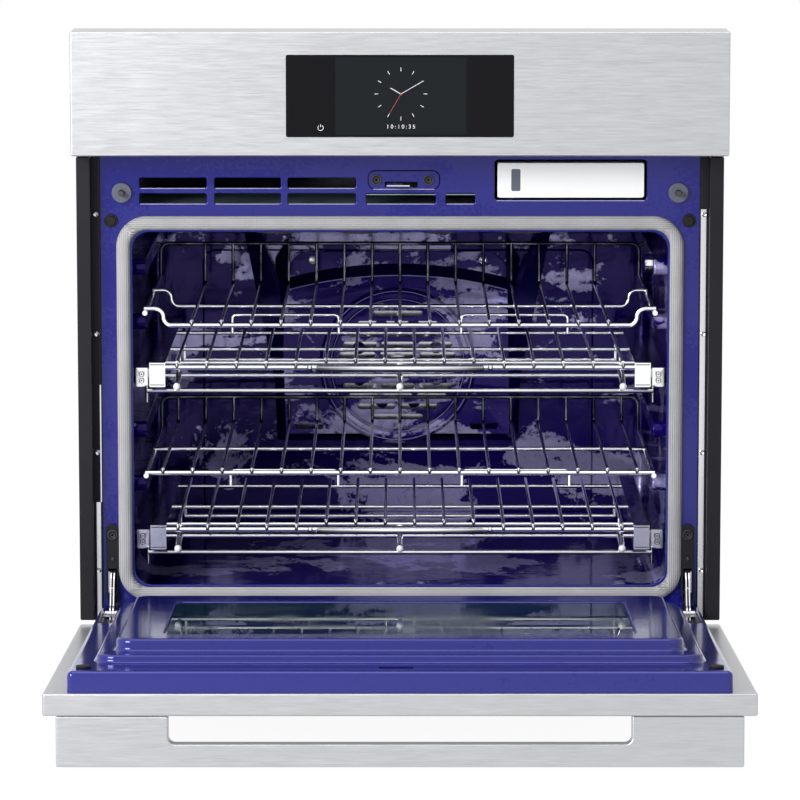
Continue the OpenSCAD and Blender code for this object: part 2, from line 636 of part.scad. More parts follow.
// A flat arm that hooks into the receiver and carries the hinge pin's bore.
module hinge_arm(x) translate([x - arm_t / 2, 0, 0]) rotate([90, 0, 90]) linear_extrude(arm_t) difference() {
    union() {
        translate([pivot_y, pivot_z]) circle(10);
        polygon([[pivot_y, pivot_z + 10], [-12, pivot_z + 36], [2, pivot_z + 48], [52, pivot_z + 48],
            [52, pivot_z + 8], [12, pivot_z + 2], [pivot_y, pivot_z - 4]]);
    }
    translate([pivot_y, pivot_z]) circle(pin_r + run);
    translate([lock_y, lock_z]) circle(2 + run);
    translate([30, pivot_z + 2]) square([8, 18]);
}
module hinge_arms() color("silver") {
    hinge_arm(hinge_x);
    hinge_arm(-hinge_x);
}

// The lock lever lies against the arm and flips forward to hold the door for removal.
module hinge_lock(side) {
    x = side * (hinge_x + arm_t / 2 + 1.1);
    span([x - 0.8, x + 0.8], [lock_y - 3, lock_y + 2.5], [lock_z - 4, lock_z + 21]);
    bar_x([x - 0.8 - (side > 0 ? arm_t : 0), x + 0.8 + (side > 0 ? 0 : arm_t)], lock_y, lock_z, 2);
}
module hinge_lock_left() color("silver") hinge_lock(-1);
module hinge_lock_right() color("silver") hinge_lock(1);

module latch_plate() color("#3a3a70") difference() {
    plate([latch_x - 41, latch_x + 41], [latch_plate_z - 10.2, latch_plate_z + 10.2], 3, [-1.5, 0]);
    span([-16.5, 19.5], [-3, 1], [latch_z - 2, latch_z + 2]);
}
module latch_motor() color("dimgray") {
    span([-26, 44], [45, 78], [latch_z - 9, latch_z + 14]);
    span([26, 44], [enamel_t, 45], [latch_z - 9, latch_z - 7]);
    span([latch_pin[0] - 10, latch_pin[0] + 10], [24, 46], [latch_z - 5, latch_z - 2]);
    bar_z(latch_pin[0], latch_pin[1], [latch_z - 3, latch_z - latch_t / 2 - slip], 6);
    bar_z(latch_pin[0], latch_pin[1], [latch_z - 2, latch_z + 3], 3);
}

// The hook's tooth points to +X, and swings behind the door liner to lock the door for cleaning.
module latch_hook() color("silver") difference() {
    z = [latch_z - latch_t / 2, latch_z + latch_t / 2];
    union() {
        span([-15.4, 3], [latch_tip, latch_pin[1]], z);
        span([2, 11.2], [latch_tip, latch_tip + 3.5], z);
        bar_z(latch_pin[0], latch_pin[1], z, 9);
    }
    bar_z(latch_pin[0], latch_pin[1], [latch_z - 2, latch_z + 2], 3 + run);
}

module switch_housings() color("gray") both_sides() difference() {
    union() {
        bar_y(switch_x, [-5, 0], switch_z, switch_r);
        bar_y(switch_x, [-1, 32], switch_z, 8);
    }
    bar_y(switch_x, [-6, 28], switch_z, plunger_r + 2 * run);
}
module plunger(side) bar_y(side * switch_x, [liner_y + 0.6, 22], switch_z, plunger_r);
module plunger_left() color("dimgray") plunger(-1);
module plunger_right() color("dimgray") plunger(1);
module frame_bumpers() color("#1c1b20") both_sides() {
    bar_y(bumper_x, [-2.5, 0], bumper_z, bumper_r);
    bar_y(bumper_x, [-4.5, -2], bumper_z, bumper_r - 2.5);
}
module screw_head(x, y, z, r) bar_y(x, [y - 2, y], z, r);
module frame_screws() color("dimgray") {
    for (x = [latch_x - 31.9, latch_x + 28.4]) screw_head(x, -1.5, latch_plate_z, 6.2);
    both_sides() {
        screw_head(hinge_x, -3, pivot_z + 90.5, 6);
        for (i = [0:3]) screw_head(chassis_hw - 1.6, -sheet, frame_z[0] + 60 + i * 140, 3);
    }
    for (x = [fan_x - 108, fan_x + 108]) screw_head(x, cav_back - sheet, fan_z + 132, 5);
}

// ---------- cooling air, water and steam ----------

module air_duct() color("silver") difference() {
    union() {
        span([duct_x0, -46], [enamel_t, duct_d], duct_z);
        span([-60, 93], [enamel_t, duct_d], [duct_z[0], duct_z[0] + 15.5]);
    }
    span([duct_x0 + 1, -47], [0, duct_d + 1], duct_z + [1, -1]);
    span([-60, 92], [0, duct_d - 1], [duct_z[0] + 1, duct_z[0] + 14.5]);
}
module cooling_blower() color("gray") difference() {
    union() {
        span([blower[0] - 70, blower[0] + 70], [duct_d, blower[1] + 70], [duct_z[0], lid_z]);
        bar_z(blower[0], blower[1], [lid_z - 1, lid_z + 32], 26);
    }
    span([blower[0] - 68.5, blower[0] + 68.5], [duct_d - 1, blower[1] + 68.5], [duct_z[0] + 1.5, lid_z - 1.5]);
    bar_z(blower[0], blower[1], [lid_z - 3, lid_z + 24], 3 + run);
    difference() {
        bar_z(blower[0], blower[1], [lid_z - 2, lid_z + 1], 48);
        bar_z(blower[0], blower[1], [lid_z - 3, lid_z + 2], 28);
        for (a = [0:120:240]) translate([blower[0], blower[1], lid_z - 3]) rotate([0, 0, a])
            translate([0, -5, 0]) cube([50, 10, 5]);
    }
}
module blower_wheel() color("dimgray") {
    bar_z(blower[0], blower[1], [wheel_z[0], wheel_z[0] + 2], wheel_r);
    bar_z(blower[0], blower[1], [wheel_z[0] + 1, lid_z + 20], 3);
    bar_z(blower[0], blower[1], [wheel_z[0] + 1, wheel_z[0] + 16], 10);
    for (a = [0:20:340]) translate([blower[0], blower[1], 0]) rotate([0, 0, a])
        span([wheel_r - 14, wheel_r - 1], [-0.7, 0.7], [wheel_z[0] + 1, wheel_z[1]]);
    difference() {
        bar_z(blower[0], blower[1], [wheel_z[1] - 2, wheel_z[1]], wheel_r);
        bar_z(blower[0], blower[1], [wheel_z[1] - 3, wheel_z[1] + 1], wheel_r - 12);
    }
}

module tank_bay() color("gray") difference() {
    span([tank_x[0] - bay_gap - 1.5, tank_x[1] + bay_gap + 1.5], [enamel_t, tank_d + 12],
        [tank_z[0] - bay_gap - 1.5, tank_z[1] + bay_gap + 1.5]);
    difference() {
        span([tank_x[0] - bay_gap, tank_x[1] + bay_gap], [0, tank_d + 10], [tank_z[0] - bay_gap, tank_z[1] + bay_gap]);
        for (x = [tank_x[0] + 15, tank_x[1] - 21])
            span([x, x + 6], [12, tank_d + 11], [tank_z[0] - bay_gap - 1, tank_z[0] - slip]);
    }
    for (z = tank_z + [4, -4]) bar_y((tank_x[0] + tank_x[1]) / 2, [tank_d, tank_d + 14], z, 4);
}
module water_tank() color("lightsteelblue") difference() {
    span(tank_x, [3.5, tank_d], tank_z);
    span(tank_x + [2, -2], [5.5, tank_d - 2], tank_z + [2, -2]);
    bar_z(tank_x[0] + 40, tank_d - 40, [tank_z[1] - 3, tank_z[1] + 1], 14);
}
module tank_front() color("white") difference() {
    plate(tank_x, tank_z, 3, [-3.5, 3.5]);
    plate([tank_x[0] + 16, tank_x[0] + 26.6], [tank_z[0] + 7.7, tank_z[1] - 7], 2, [-4, -2.5]);
}
module steam_generator() color("silver") {
    x = [tank_x[0] + 20, tank_x[1] - 10];
    y = tank_d + 80;
    z = top_z + 45;
    difference() {
        union() {
            bar_x(x, y, z, 36);
            for (foot = [x[0] + 20, x[1] - 30]) span([foot, foot + 10], [y - 25, y + 25], [top_z, top_z + 40]);
            bar_z(x[0] + 50, y, [z + 30, z + 56], 7);
        }
        bar_x(x + [4, -4], y, z, 33);
        bar_z(x[0] + 50, y, [z, z + 57], 5);
    }
}

// ---------- door, drawn closed ----------

module door_shell() color("lightgray") opened() difference() {
    plate([-front_hw, front_hw], [door_z0, door_z1], 3, [face_y, rim_y]);
    plate([-front_hw + 1.5, front_hw - 1.5], [door_z0 + 1.5, door_z1 - 1.5], 1.6, [face_y + 1.5, rim_y - 1.5]);
    span([-hinge_x - 10, hinge_x + 10], [rim_y - 3, rim_y + 1], liner_z + [1.4, -8]);
    plate([-window_hw - 10, window_hw + 10], window_z, 8, [face_y - 1, face_y + 3]);
}
module door_outer_glass() color("#202428") opened()
    plate([-window_hw - 22, window_hw + 22], window_z + [-12, 12], 8, [face_y + 1.5, face_y + 5.5]);
module door_middle_glass() color("#303840") opened()
    span([-window_hw - 10, window_hw + 10], [rim_y + 4, rim_y + 8], window_z + [-10, 10]);
module door_inner_glass() color("#303840") opened()
    span([-window_hw - 8, window_hw + 8], [plug_y - enamel_t - 5, plug_y - enamel_t], window_z + [-8, 8]);

module door_liner() color("navy") opened() difference() {
    union() {
        plate([-liner_hw, liner_hw], liner_z, 5, [rim_y, liner_y]);
        plate([-land_hw, land_hw], land_z, 22, [liner_y - 1, land_y]);
        plate([-plug_hw, plug_hw], plug_z, 18, [land_y - 1, plug_y]);
    }
    plate([-liner_hw + enamel_t, liner_hw - enamel_t], liner_z + [enamel_t, -enamel_t], 4,
        [rim_y - 1, liner_y - enamel_t]);
    plate([-land_hw + enamel_t, land_hw - enamel_t], land_z + [enamel_t, -enamel_t], 20.5,
        [rim_y, land_y - enamel_t]);
    plate([-plug_hw + enamel_t, plug_hw - enamel_t], plug_z + [enamel_t, -enamel_t], 16.5,
        [rim_y, plug_y - enamel_t]);
    plate([-window_hw, window_hw], window_z, 10, [rim_y, plug_y + 1]);
    both_sides() span([hinge_x - 8, hinge_x + 8], [rim_y - 1, land_y + 1], [liner_z[0] - 1, pivot_z + 138]);
    span([-22, 14], [rim_y - 1, liner_y + 1], [latch_z - 8, latch_z + 8]);
}
module door_core() color("silver") opened() difference() {
    span([-plug_hw + 4, plug_hw - 4], [rim_y - 12, plug_y - enamel_t - 5.4],
        plug_z + [12, -12]);
    span([-window_hw - 2, window_hw + 2], [rim_y - 13, plug_y], window_z + [-2, 2]);
    span([-window_hw - 10, window_hw + 10], [rim_y + 4, rim_y + 8], window_z + [-10, 10]);
}
grip_w = 25;
module door_handle() color("lightgray") opened() difference() {
    translate([-front_hw + 14, 0, 0]) rotate([0, 90, 0]) linear_extrude(2 * front_hw - 28)
        rounded([-(door_z1 - 2), -(door_z1 - 22)], [face_y - handle_out, face_y], 5);
    translate([0, 0, door_z1 - 40]) linear_extrude(50)
        rounded([-handle_slot / 2, handle_slot / 2], [face_y - handle_out + grip_w, face_y + 8], 6);
}
module hinge_channels() color("silver") opened() both_sides() {
    z = [liner_z[0] + 1.9, pivot_z + 160];
    difference() {
        span([hinge_x - 9.5, hinge_x + 9.5], [face_y + 6, liner_y - enamel_t - 1.5], z);
        span([hinge_x - 7.5, hinge_x + 7.5], [face_y + 8, liner_y], z + [-1, 1]);
    }
    bar_x([hinge_x - 8, hinge_x + 8], pivot_y, pivot_z, pin_r);
}
module door_bumpers() color("#1c1b20") opened() both_sides()
    bar_y(hinge_x - 1.8, [liner_y, liner_y + 3], switch_z + 14.6, 8);

chassis_base();
chassis_sides();
chassis_back();
chassis_top();
front_frame();
side_trims();
control_fascia();
touchscreen_glass();
display_module();
control_boards();
terminal_box();
cavity_liner();
insulation_wrap();
gasket();
fan_baffle();
fan_motor();
convection_element();
broil_element();
bake_element();
lamps();
lamp_lenses();
temperature_sensor();
probe_jack();
glide_bases();
hinge_receivers();
hinge_covers();
hinge_arms();
latch_plate();
latch_motor();
switch_housings();
frame_bumpers();
cooling_blower();
air_duct();
tank_bay();
steam_generator();
frame_screws();
door_shell();
door_outer_glass();
door_middle_glass();
door_inner_glass();
door_liner();
door_core();
door_handle();
hinge_channels();
door_bumpers();
rack_upper();
rack_lower();
glide_rack_upper();
glide_rack_lower();
glide_links_upper();
glide_links_lower();
convection_fan();
blower_wheel();
water_tank();
tank_front();
latch_hook();
plunger_left();
plunger_right();
hinge_lock_left();
hinge_lock_right();
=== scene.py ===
"""Built-in steam and convection oven with its door open: pressed panels, wires, fittings and finishes."""

import json
import math

import bmesh
import bpy
from mathutils import Matrix, Vector


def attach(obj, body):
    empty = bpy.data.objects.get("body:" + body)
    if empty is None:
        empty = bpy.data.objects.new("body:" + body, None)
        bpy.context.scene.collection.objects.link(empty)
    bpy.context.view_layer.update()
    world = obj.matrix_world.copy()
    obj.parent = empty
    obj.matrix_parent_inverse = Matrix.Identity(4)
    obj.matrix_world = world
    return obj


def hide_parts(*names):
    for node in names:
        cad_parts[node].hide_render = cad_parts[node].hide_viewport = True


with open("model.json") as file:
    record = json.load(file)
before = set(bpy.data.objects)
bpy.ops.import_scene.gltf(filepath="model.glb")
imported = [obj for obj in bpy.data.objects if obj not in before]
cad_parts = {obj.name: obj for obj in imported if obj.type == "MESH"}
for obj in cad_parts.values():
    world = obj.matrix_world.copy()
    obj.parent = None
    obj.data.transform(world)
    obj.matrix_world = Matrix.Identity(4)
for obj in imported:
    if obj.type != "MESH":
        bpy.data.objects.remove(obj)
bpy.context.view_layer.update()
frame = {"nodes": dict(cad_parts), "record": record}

MM = 0.001

# Sizes of the CAD model, in millimetres
FRONT_HW = 378
FRAME_HW = 348.6
CHASSIS_HW = 355.5
FACE_Y = -64
FASCIA_Z = (608, 751)
FRAME_Z = (55, 645)
DISPLAY = (-130, 130, 630.8, 723.8)
MOUTH = (-311.8, 311.8, 97.2, 514.2, 20)
CAVITY = (-315, 315, 89, 526, 22)
CAVITY_BACK = 480.5
RIB_LEVELS = [156 + 64.3 * n for n in range(6)]
RIB_HW = 298.5
FAN = (-3, 297.4)
BAFFLE_Y = 453
HINGE_X = 337.8
PIVOT = Vector((0, -23.3, 66.9))
DOOR_OPEN = math.radians(86.5)
RIM_Y = -40
LINER_Y = -16.6
LAND_Y = -8.1
PLUG_Y = 5.7
ENAMEL = 1.5
SHEET = 1.2
PITCH = 34.9
SIDES = (-1, 1)


# ---------- mesh making ----------


def box_at(x, y, z):
    """A box between two corners, in millimetres."""
    bm = bmesh.new()
    lo, hi = Vector((x[0], y[0], z[0])), Vector((x[1], y[1], z[1]))
    place = Matrix.Translation((lo + hi) / 2) @ Matrix.Diagonal((*(hi - lo), 1))
    bmesh.ops.create_cube(bm, size=1, matrix=place)
    return bm


def edges_along(bm, axis):
    return [e for e in bm.edges if abs(abs((e.verts[0].co - e.verts[1].co).normalized()[axis]) - 1) < 1e-4]


def round_edges(bm, edges, radius, segments):
    bmesh.ops.bevel(bm, geom=list(edges), offset=radius, offset_type="OFFSET", segments=segments,
                    profile=0.5, affect="EDGES", clamp_overlap=True, material=-1)


def sharp_edges(bm, angle=30):
    limit = math.radians(angle)
    return [e for e in bm.edges if len(e.link_faces) == 2 and e.calc_face_angle(0) > limit]


def block(x, y, z, corner=0, axis=1, edge=0.4, segments=3):
    """A box with round corners about one axis and softened edges."""
    bm = box_at(x, y, z)
    if corner:
        round_edges(bm, edges_along(bm, axis), corner, 6)
    if edge:
        round_edges(bm, sharp_edges(bm), edge, segments)
    return bm


def moved(bm, vec):
    bmesh.ops.translate(bm, vec=vec, verts=bm.verts)


def scaled(bm, vec):
    bmesh.ops.scale(bm, vec=vec, verts=bm.verts)


AXES = {"X": (Vector((1, 0, 0)), Matrix.Rotation(math.pi / 2, 4, "Y")),
        "Y": (Vector((0, 1, 0)), Matrix.Rotation(-math.pi / 2, 4, "X"))}


def disc(centre, radius, depth, axis="Y", edge=0.4, sides=32):
    """A short round piece about an axis, with softened rims. depth is its span along the axis."""
    bm = bmesh.new()
    direction, turn = AXES[axis]
    middle = Vector(centre) + direction * (depth[0] + depth[1]) / 2
    bmesh.ops.create_cone(bm, cap_ends=True, segments=sides, radius1=radius, radius2=radius,
                          depth=depth[1] - depth[0], matrix=Matrix.Translation(middle) @ turn)
    if edge:
        round_edges(bm, sharp_edges(bm, 40), edge, 2)
    return bm


def joined(parts):
    """One bmesh made of several."""
    whole = bmesh.new()
    for part in parts:
        carrier = bpy.data.meshes.new("carrier")
        part.to_mesh(carrier)
        part.free()
        whole.from_mesh(carrier)
        bpy.data.meshes.remove(carrier)
    return whole


def mirrored(bm):
    """The bmesh with its mirror image in the centre plane."""
    twin = bm.copy()
    scaled(twin, (-1, 1, 1))
    bmesh.ops.reverse_faces(twin, faces=twin.faces)
    return joined([bm, twin])


def opened(bm):
    """Turns door pieces from the closed place to the open one."""
    bmesh.ops.rotate(bm, cent=PIVOT, matrix=Matrix.Rotation(DOOR_OPEN, 3, "X"), verts=bm.verts)
    return bm


def outline_loop(bm, x0, x1, z0, z1, r, y, segments):
    """A loop of edges: a rectangle with round corners that faces the front."""
    before = set(bm.edges)
    corners = [bm.verts.new((x, y, z)) for x, z in ((x0, z0), (x1, z0), (x1, z1), (x0, z1))]
    face = bm.faces.new(corners)
    bmesh.ops.bevel(bm, geom=corners, offset=max(r, 0.3), offset_type="OFFSET", segments=segments, profile=0.5,
                    affect="VERTICES", clamp_overlap=True, material=-1)
    face = [f for f in bm.faces if all(e not in before for e in f.edges) and len(f.verts) > 4 and f.is_valid
            and len(f.edges) == 4 * (segments + 1) and not any(len(e.link_faces) > 1 for e in f.edges)][-1]
    bmesh.ops.delete(bm, geom=[face], context="FACES_ONLY")
    return [e for e in bm.edges if e not in before]


def pressed(sections, segments=6, close=False):
    """A panel drawn as a row of outlines, each joined to the next. A section is an outline, a growth and a depth."""
    bm = bmesh.new()
    loops, depths = [], {}
    for i, ((x0, x1, z0, z1, r), grow, y) in enumerate(sections):
        apart = 4000 * i  # far apart while they are joined, so that no two are turned over
        loops.append(outline_loop(bm, x0 - grow, x1 + grow, z0 - grow, z1 + grow, r + grow, apart, segments))
        depths.update({v: y for e in loops[-1] for v in e.verts})
    for a, b in zip(loops, loops[1:] + loops[:1] if close else loops[1:]):
        bmesh.ops.bridge_loops(bm, edges=a + b)
    for v, y in depths.items():
        v.co.y = y
    return bm


def capped(bm):
    """Closes the open loops of a bmesh with flat faces."""
    bmesh.ops.holes_fill(bm, edges=[e for e in bm.edges if e.is_boundary], sides=0)
    return bm


def quarter(steps):
    """The angles of a quarter turn, in even steps."""
    return [math.radians(90 * i / steps) for i in range(steps + 1)]


def fold(outline, spread, y, depth, steps=4):
    """Sections of a round fold that starts flat and ends square to the sheet."""
    return [(outline, spread * (1 - math.sin(a)), y + depth * (1 - math.cos(a))) for a in quarter(steps)]


def turned_in(outline, radius, y, steps=4):
    """Sections of a round edge that starts square to the sheet and ends flat at y."""
    return [(outline, -radius * (1 - math.cos(a)), y - radius * (1 - math.sin(a))) for a in quarter(steps)]


def step_up(outline, low, high, radius):
    """Sections of a pressed step at an outline: a hollow fillet below and a round one above."""
    depth = radius if high > low else -radius
    return fold(outline, radius, low, depth) + fold(outline, -radius, high, -depth)[::-1]


def flat_outline(curve, x0, x1, z0, z1, r):
    """Adds a rectangle with round corners to a flat curve."""
    r = max(r, 0.05)
    k = r * 0.4477
    rows = [((x0 + r, z0), (x0 + k, z0), None), ((x1 - r, z0), None, (x1 - k, z0)),
            ((x1, z0 + r), (x1, z0 + k), None), ((x1, z1 - r), None, (x1, z1 - k)),
            ((x1 - r, z1), (x1 - k, z1), None), ((x0 + r, z1), None, (x0 + k, z1)),
            ((x0, z1 - r), (x0, z1 - k), None), ((x0, z0 + r), None, (x0, z0 + k))]
    spline = curve.splines.new("BEZIER")
    spline.bezier_points.add(len(rows) - 1)
    spline.use_cyclic_u = True
    spline.resolution_u = 5
    for point, (at, before, after) in zip(spline.bezier_points, rows):
        point.co = (*at, 0)
        point.handle_left_type = point.handle_right_type = "FREE"
        point.handle_left = (*(before or at), 0)
        point.handle_right = (*(after or at), 0)


def round_outline(curve, x, z, r):
    flat_outline(curve, x - r, x + r, z - r, z + r, r * 0.999)


def stood_up(bm, place):
    """Turns a piece drawn flat to face the front, and puts it in its place."""
    bmesh.ops.rotate(bm, cent=(0, 0, 0), matrix=Matrix.Rotation(math.pi / 2, 3, "X"), verts=bm.verts)
    moved(bm, place)
    return bm


def flat_piece(draw, y, edge, steps=1):
    """A flat sheet that faces the front, from y[0] to y[1], with the outlines that a function draws."""
    curve = bpy.data.curves.new("sheet", "CURVE")
    curve.dimensions = "2D"
    curve.fill_mode = "BOTH"
    draw(curve)
    curve.bevel_depth = edge
    curve.bevel_resolution = steps
    curve.offset = -edge
    curve.extrude = (y[1] - y[0]) / 2 - edge
    return stood_up(from_curve(curve), (0, (y[0] + y[1]) / 2, 0))


def placed(name, data):
    """A new object in the scene."""
    thing = bpy.data.objects.new(name, data)
    bpy.context.scene.collection.objects.link(thing)
    return thing


def from_curve(curve):
    """The mesh of a curve, as a bmesh. The curve is removed."""
    carrier = placed("carrier", curve)
    bpy.context.view_layer.update()
    shaped = carrier.evaluated_get(bpy.context.evaluated_depsgraph_get())
    mesh = bpy.data.meshes.new_from_object(shaped)
    bm = bmesh.new()
    bm.from_mesh(mesh)
    bmesh.ops.remove_doubles(bm, verts=bm.verts, dist=1e-4)
    bpy.data.objects.remove(carrier)
    bpy.data.curves.remove(curve)
    bpy.data.meshes.remove(mesh)
    return bm


def wires(runs, radius):
    """Fine round wires along runs of points, with flat ends."""
    curve = bpy.data.curves.new("wires", "CURVE")
    curve.dimensions = "3D"
    curve.bevel_depth = radius
    curve.bevel_resolution = 1
    curve.use_fill_caps = True
    for run in runs:
        spline = curve.splines.new("POLY")
        spline.points.add(len(run) - 1)
        for point, at in zip(spline.points, run):
            point.co = (*at, 1)
    return from_curve(curve)


def beads(places, radius, flat=(1, 1, 1)):
    """Small weld beads or ball ends."""
    bm = bmesh.new()
    for place in places:
        scale = Matrix.Diagonal((*flat, 1))
        bmesh.ops.create_uvsphere(bm, u_segments=10, v_segments=7, radius=radius,
                                  matrix=Matrix.Translation(place) @ scale)
    return bm


def refined(node, edge, angle, segments=2):
    """A copy of a CAD node with its triangles joined into faces and its edges softened, in millimetres."""
    bm = bmesh.new()
    bm.from_mesh(frame["nodes"][node].data)
    scaled(bm, (1000,) * 3)
    bmesh.ops.remove_doubles(bm, verts=bm.verts, dist=0.002)
    bmesh.ops.dissolve_limit(bm, angle_limit=math.radians(1), use_dissolve_boundaries=False,
                             verts=bm.verts, edges=bm.edges, delimit=set())
    if edge:
        round_edges(bm, sharp_edges(bm, angle), edge, segments)
    return bm


FACING = "facing"


def keep_facing(mesh):
    """Keeps each corner's direction on a wire, for the painted shade on its sides."""
    directions = [part for corner in mesh.corner_normals for part in corner.vector]
    mesh.attributes.new(FACING, "FLOAT_VECTOR", "CORNER").data.foreach_set("vector", directions)


def finished(name, bm, material, body, replaces=(), angle=35):
    """Makes a bmesh in millimetres into a piece that rides on a body."""
    scaled(bm, (MM,) * 3)
    mesh = bpy.data.meshes.new(name)
    bm.to_mesh(mesh)
    bm.free()
    for polygon in mesh.polygons:
        polygon.use_smooth = True
    mesh.set_sharp_from_angle(angle=math.radians(angle))
    mesh.materials.append(material)
    # wires keep their facing so that the painted shade can darken their sides
    if material is chrome:
        keep_facing(mesh)
    piece = placed(name, mesh)
    weighted = piece.modifiers.new("face weighted normals", "WEIGHTED_NORMAL")
    weighted.keep_sharp = True
    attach(piece, body)
    if replaces:
        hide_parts(*replaces)
    return piece


def walled(bm, thickness):
    """Gives a pressed panel its wall, on the side away from its faces."""
    bmesh.ops.recalc_face_normals(bm, faces=bm.faces)
    faces = list(bm.faces)
    bmesh.ops.solidify(bm, geom=faces, thickness=thickness)
    return bm


# ---------- finishes ----------

COLOUR, FLOAT, VECTOR = "NodeSocketColor", "NodeSocketFloat", "NodeSocketVector"
SURFACE = (("Colour", COLOUR), ("Roughness", FLOAT), ("Height", FLOAT))
GREY = (0.5, 0.5, 0.5, 1)
WHITE = (1, 1, 1, 1)
NOISE_LOW, NOISE_HIGH, NOISE_MIDDLE = 0.3, 0.7, 0.5


def shader_node(tree, kind, inputs=(), **settings):
    """Adds a node, sets it, and links or sets its inputs."""
    made = tree.nodes.new(kind)
    for key, value in settings.items():
        setattr(made, key, value)
    for key, value in dict(inputs).items():
        if isinstance(value, bpy.types.NodeSocket):
            tree.links.new(value, made.inputs[key])
        else:
            made.inputs[key].default_value = value
    return made


def new_effect(name, inputs, outputs=SURFACE):
    """An empty node group with named sockets: the group, what it is given and what it results in."""
    tree = bpy.data.node_groups.new(name, "ShaderNodeTree")
    for label, value in inputs.items():
        kind = {3: VECTOR, 4: COLOUR}[len(value)] if isinstance(value, tuple) else FLOAT
        tree.interface.new_socket(label, in_out="INPUT", socket_type=kind).default_value = value
    for label, kind in outputs:
        tree.interface.new_socket(label, in_out="OUTPUT", socket_type=kind)
    return tree, tree.nodes.new("NodeGroupInput").outputs, tree.nodes.new("NodeGroupOutput").inputs


def give(tree, result, **values):
    """Links what an effect works out to its outputs."""
    for label, value in values.items():
        tree.links.new(value, result[label])
    return tree


def own_place(tree):
    return shader_node(tree, "ShaderNodeTexCoord").outputs["Object"]


def stretched(tree, scale_xyz):
    """Object coordinates with their own scale along each axis."""
    return shader_node(tree, "ShaderNodeMapping", {"Vector": own_place(tree), "Scale": scale_xyz}).outputs[0]


def from_inputs(kind, inputs, **settings):
    """The outputs of a new node, in the tree that its inputs come from."""
    tree = next(value.id_data for value in inputs.values() if isinstance(value, bpy.types.NodeSocket))
    return shader_node(tree, kind, inputs, **settings).outputs


def noise(vector, scale, detail, roughness=0.5, distortion=0):
    return from_inputs("ShaderNodeTexNoise", {"Vector": vector, "Scale": scale, "Detail": detail,
                                              "Roughness": roughness, "Distortion": distortion})["Fac"]


def ranged(value, low, high, to_low, to_high, smooth=True):
    span = {"Value": value, "From Min": low, "From Max": high, "To Min": to_low, "To Max": to_high}
    return from_inputs("ShaderNodeMapRange", span, interpolation_type="SMOOTHSTEP" if smooth else "LINEAR")["Result"]


def varied(field, low, high, smooth=True):
    """A noise field spread over a range."""
    return ranged(field, NOISE_LOW, NOISE_HIGH, low, high, smooth)


def mixed(factor, a, b):
    return from_inputs("ShaderNodeMix", {"Factor": factor, 6: a, 7: b}, data_type="RGBA")[2]


def arithmetic(operation, a, b=0.0):
    return from_inputs("ShaderNodeMath", {0: a, 1: b}, operation=operation)[0]


def times(a, b):
    return arithmetic("MULTIPLY", a, b)


def plus(a, b):
    return arithmetic("ADD", a, b)


def less(a, b):
    return arithmetic("SUBTRACT", a, b)


def greater(a, b):
    return arithmetic("MAXIMUM", a, b)


def size_of(a):
    return arithmetic("ABSOLUTE", a)


def centred(field):
    """A noise field that swings about nought."""
    return less(field, NOISE_MIDDLE)


def vectors(operation, a, b):
    return from_inputs("ShaderNodeVectorMath", {0: a, 1: b}, operation=operation)[0]


def shaded(colour, shade):
    """A colour made lighter or darker."""
    return from_inputs("ShaderNodeVectorMath", {0: colour, "Scale": shade}, operation="SCALE")[0]


def parts_of(vector):
    return from_inputs("ShaderNodeSeparateXYZ", {"Vector": vector})


def cells(vector, scale):
    return from_inputs("ShaderNodeTexVoronoi", {"Vector": vector, "Scale": scale}, feature="F1")


def make_brushing():
    """Straight brush lines, with slow changes along the sheet."""
    tree, given, result = new_effect("brushing", {"Metal": GREY, "Stretch": (6, 900, 900), "Roughness": 0.34,
                                                  "Depth": 0.12})
    place = own_place(tree)
    lines = vectors("MULTIPLY", place, given["Stretch"])
    fine = noise(lines, 1, 3, 0.65)
    broad = noise(vectors("MULTIPLY", lines, (0.6, 0.16, 0.16)), 1, 2)
    cloud = noise(place, 3.5, 2)
    strokes = plus(times(fine, 0.84), times(broad, 0.16))
    shade = plus(varied(strokes, 0.91, 1.07, False), varied(cloud, -0.012, 0.012))
    return give(tree, result, Colour=shaded(given["Metal"], shade),
                Roughness=plus(given["Roughness"], varied(strokes, -0.05, 0.06, False)),
                Height=times(strokes, given["Depth"]))


def make_enamelling():
    """Fired enamel: a deep ground with ragged patches of a second colour, fine specks and an orange-peel surface.
    The patches are a real bloom on some finishes and painted reflections on the inside finishes, where the lustre gives
    them a metallic sheen.
    """
    tree, given, result = new_effect("enamelling", {
        "Ground": GREY, "Bloom": GREY, "Speck": GREY, "Bloom amount": 0.5, "Patch scale": 9.0, "Edge": 0.05,
        "Roughness": 0.14, "Peel": 1.0, "Lustre": 0.0, "Stipple": 0.0}, (*SURFACE, ("Metallic", FLOAT)))
    place = own_place(tree)
    patch = noise(stretched(tree, (0.8, 0.8, 1.5)), given["Patch scale"], 6, 0.58, 0.5)
    ragged = noise(place, 75, 4, 0.7, 1.2)
    dots = centred(noise(place, 230, 2, 0.6))
    field = plus(patch, times(centred(ragged), 0.16))
    field = plus(field, times(dots, given["Stipple"]))
    level = less(0.72, times(given["Bloom amount"], 0.44))
    lift = arithmetic("DIVIDE", less(field, level), given["Edge"])
    # the patches: real bloom on some finishes, painted reflections on the inside finishes
    bloom_and_reflection = times(ranged(lift, 0, 1, 0, 1), varied(ragged, 0.72, 1))
    ground = mixed(bloom_and_reflection, given["Ground"], given["Bloom"])
    some = ranged(noise(place, 60, 2), 0.5, 0.62, 0, 1)
    speck = times(ranged(cells(place, 420)["Distance"], 0.16, 0.32, 1, 0), some)
    peel = plus(times(noise(place, 110, 2, 0.45), 0.35), noise(place, 28, 1, 0.4))
    return give(tree, result, Colour=mixed(speck, ground, given["Speck"]),
                Roughness=plus(given["Roughness"], varied(patch, -0.02, 0.04)),
                Height=times(peel, given["Peel"]), Metallic=times(bloom_and_reflection, given["Lustre"]))


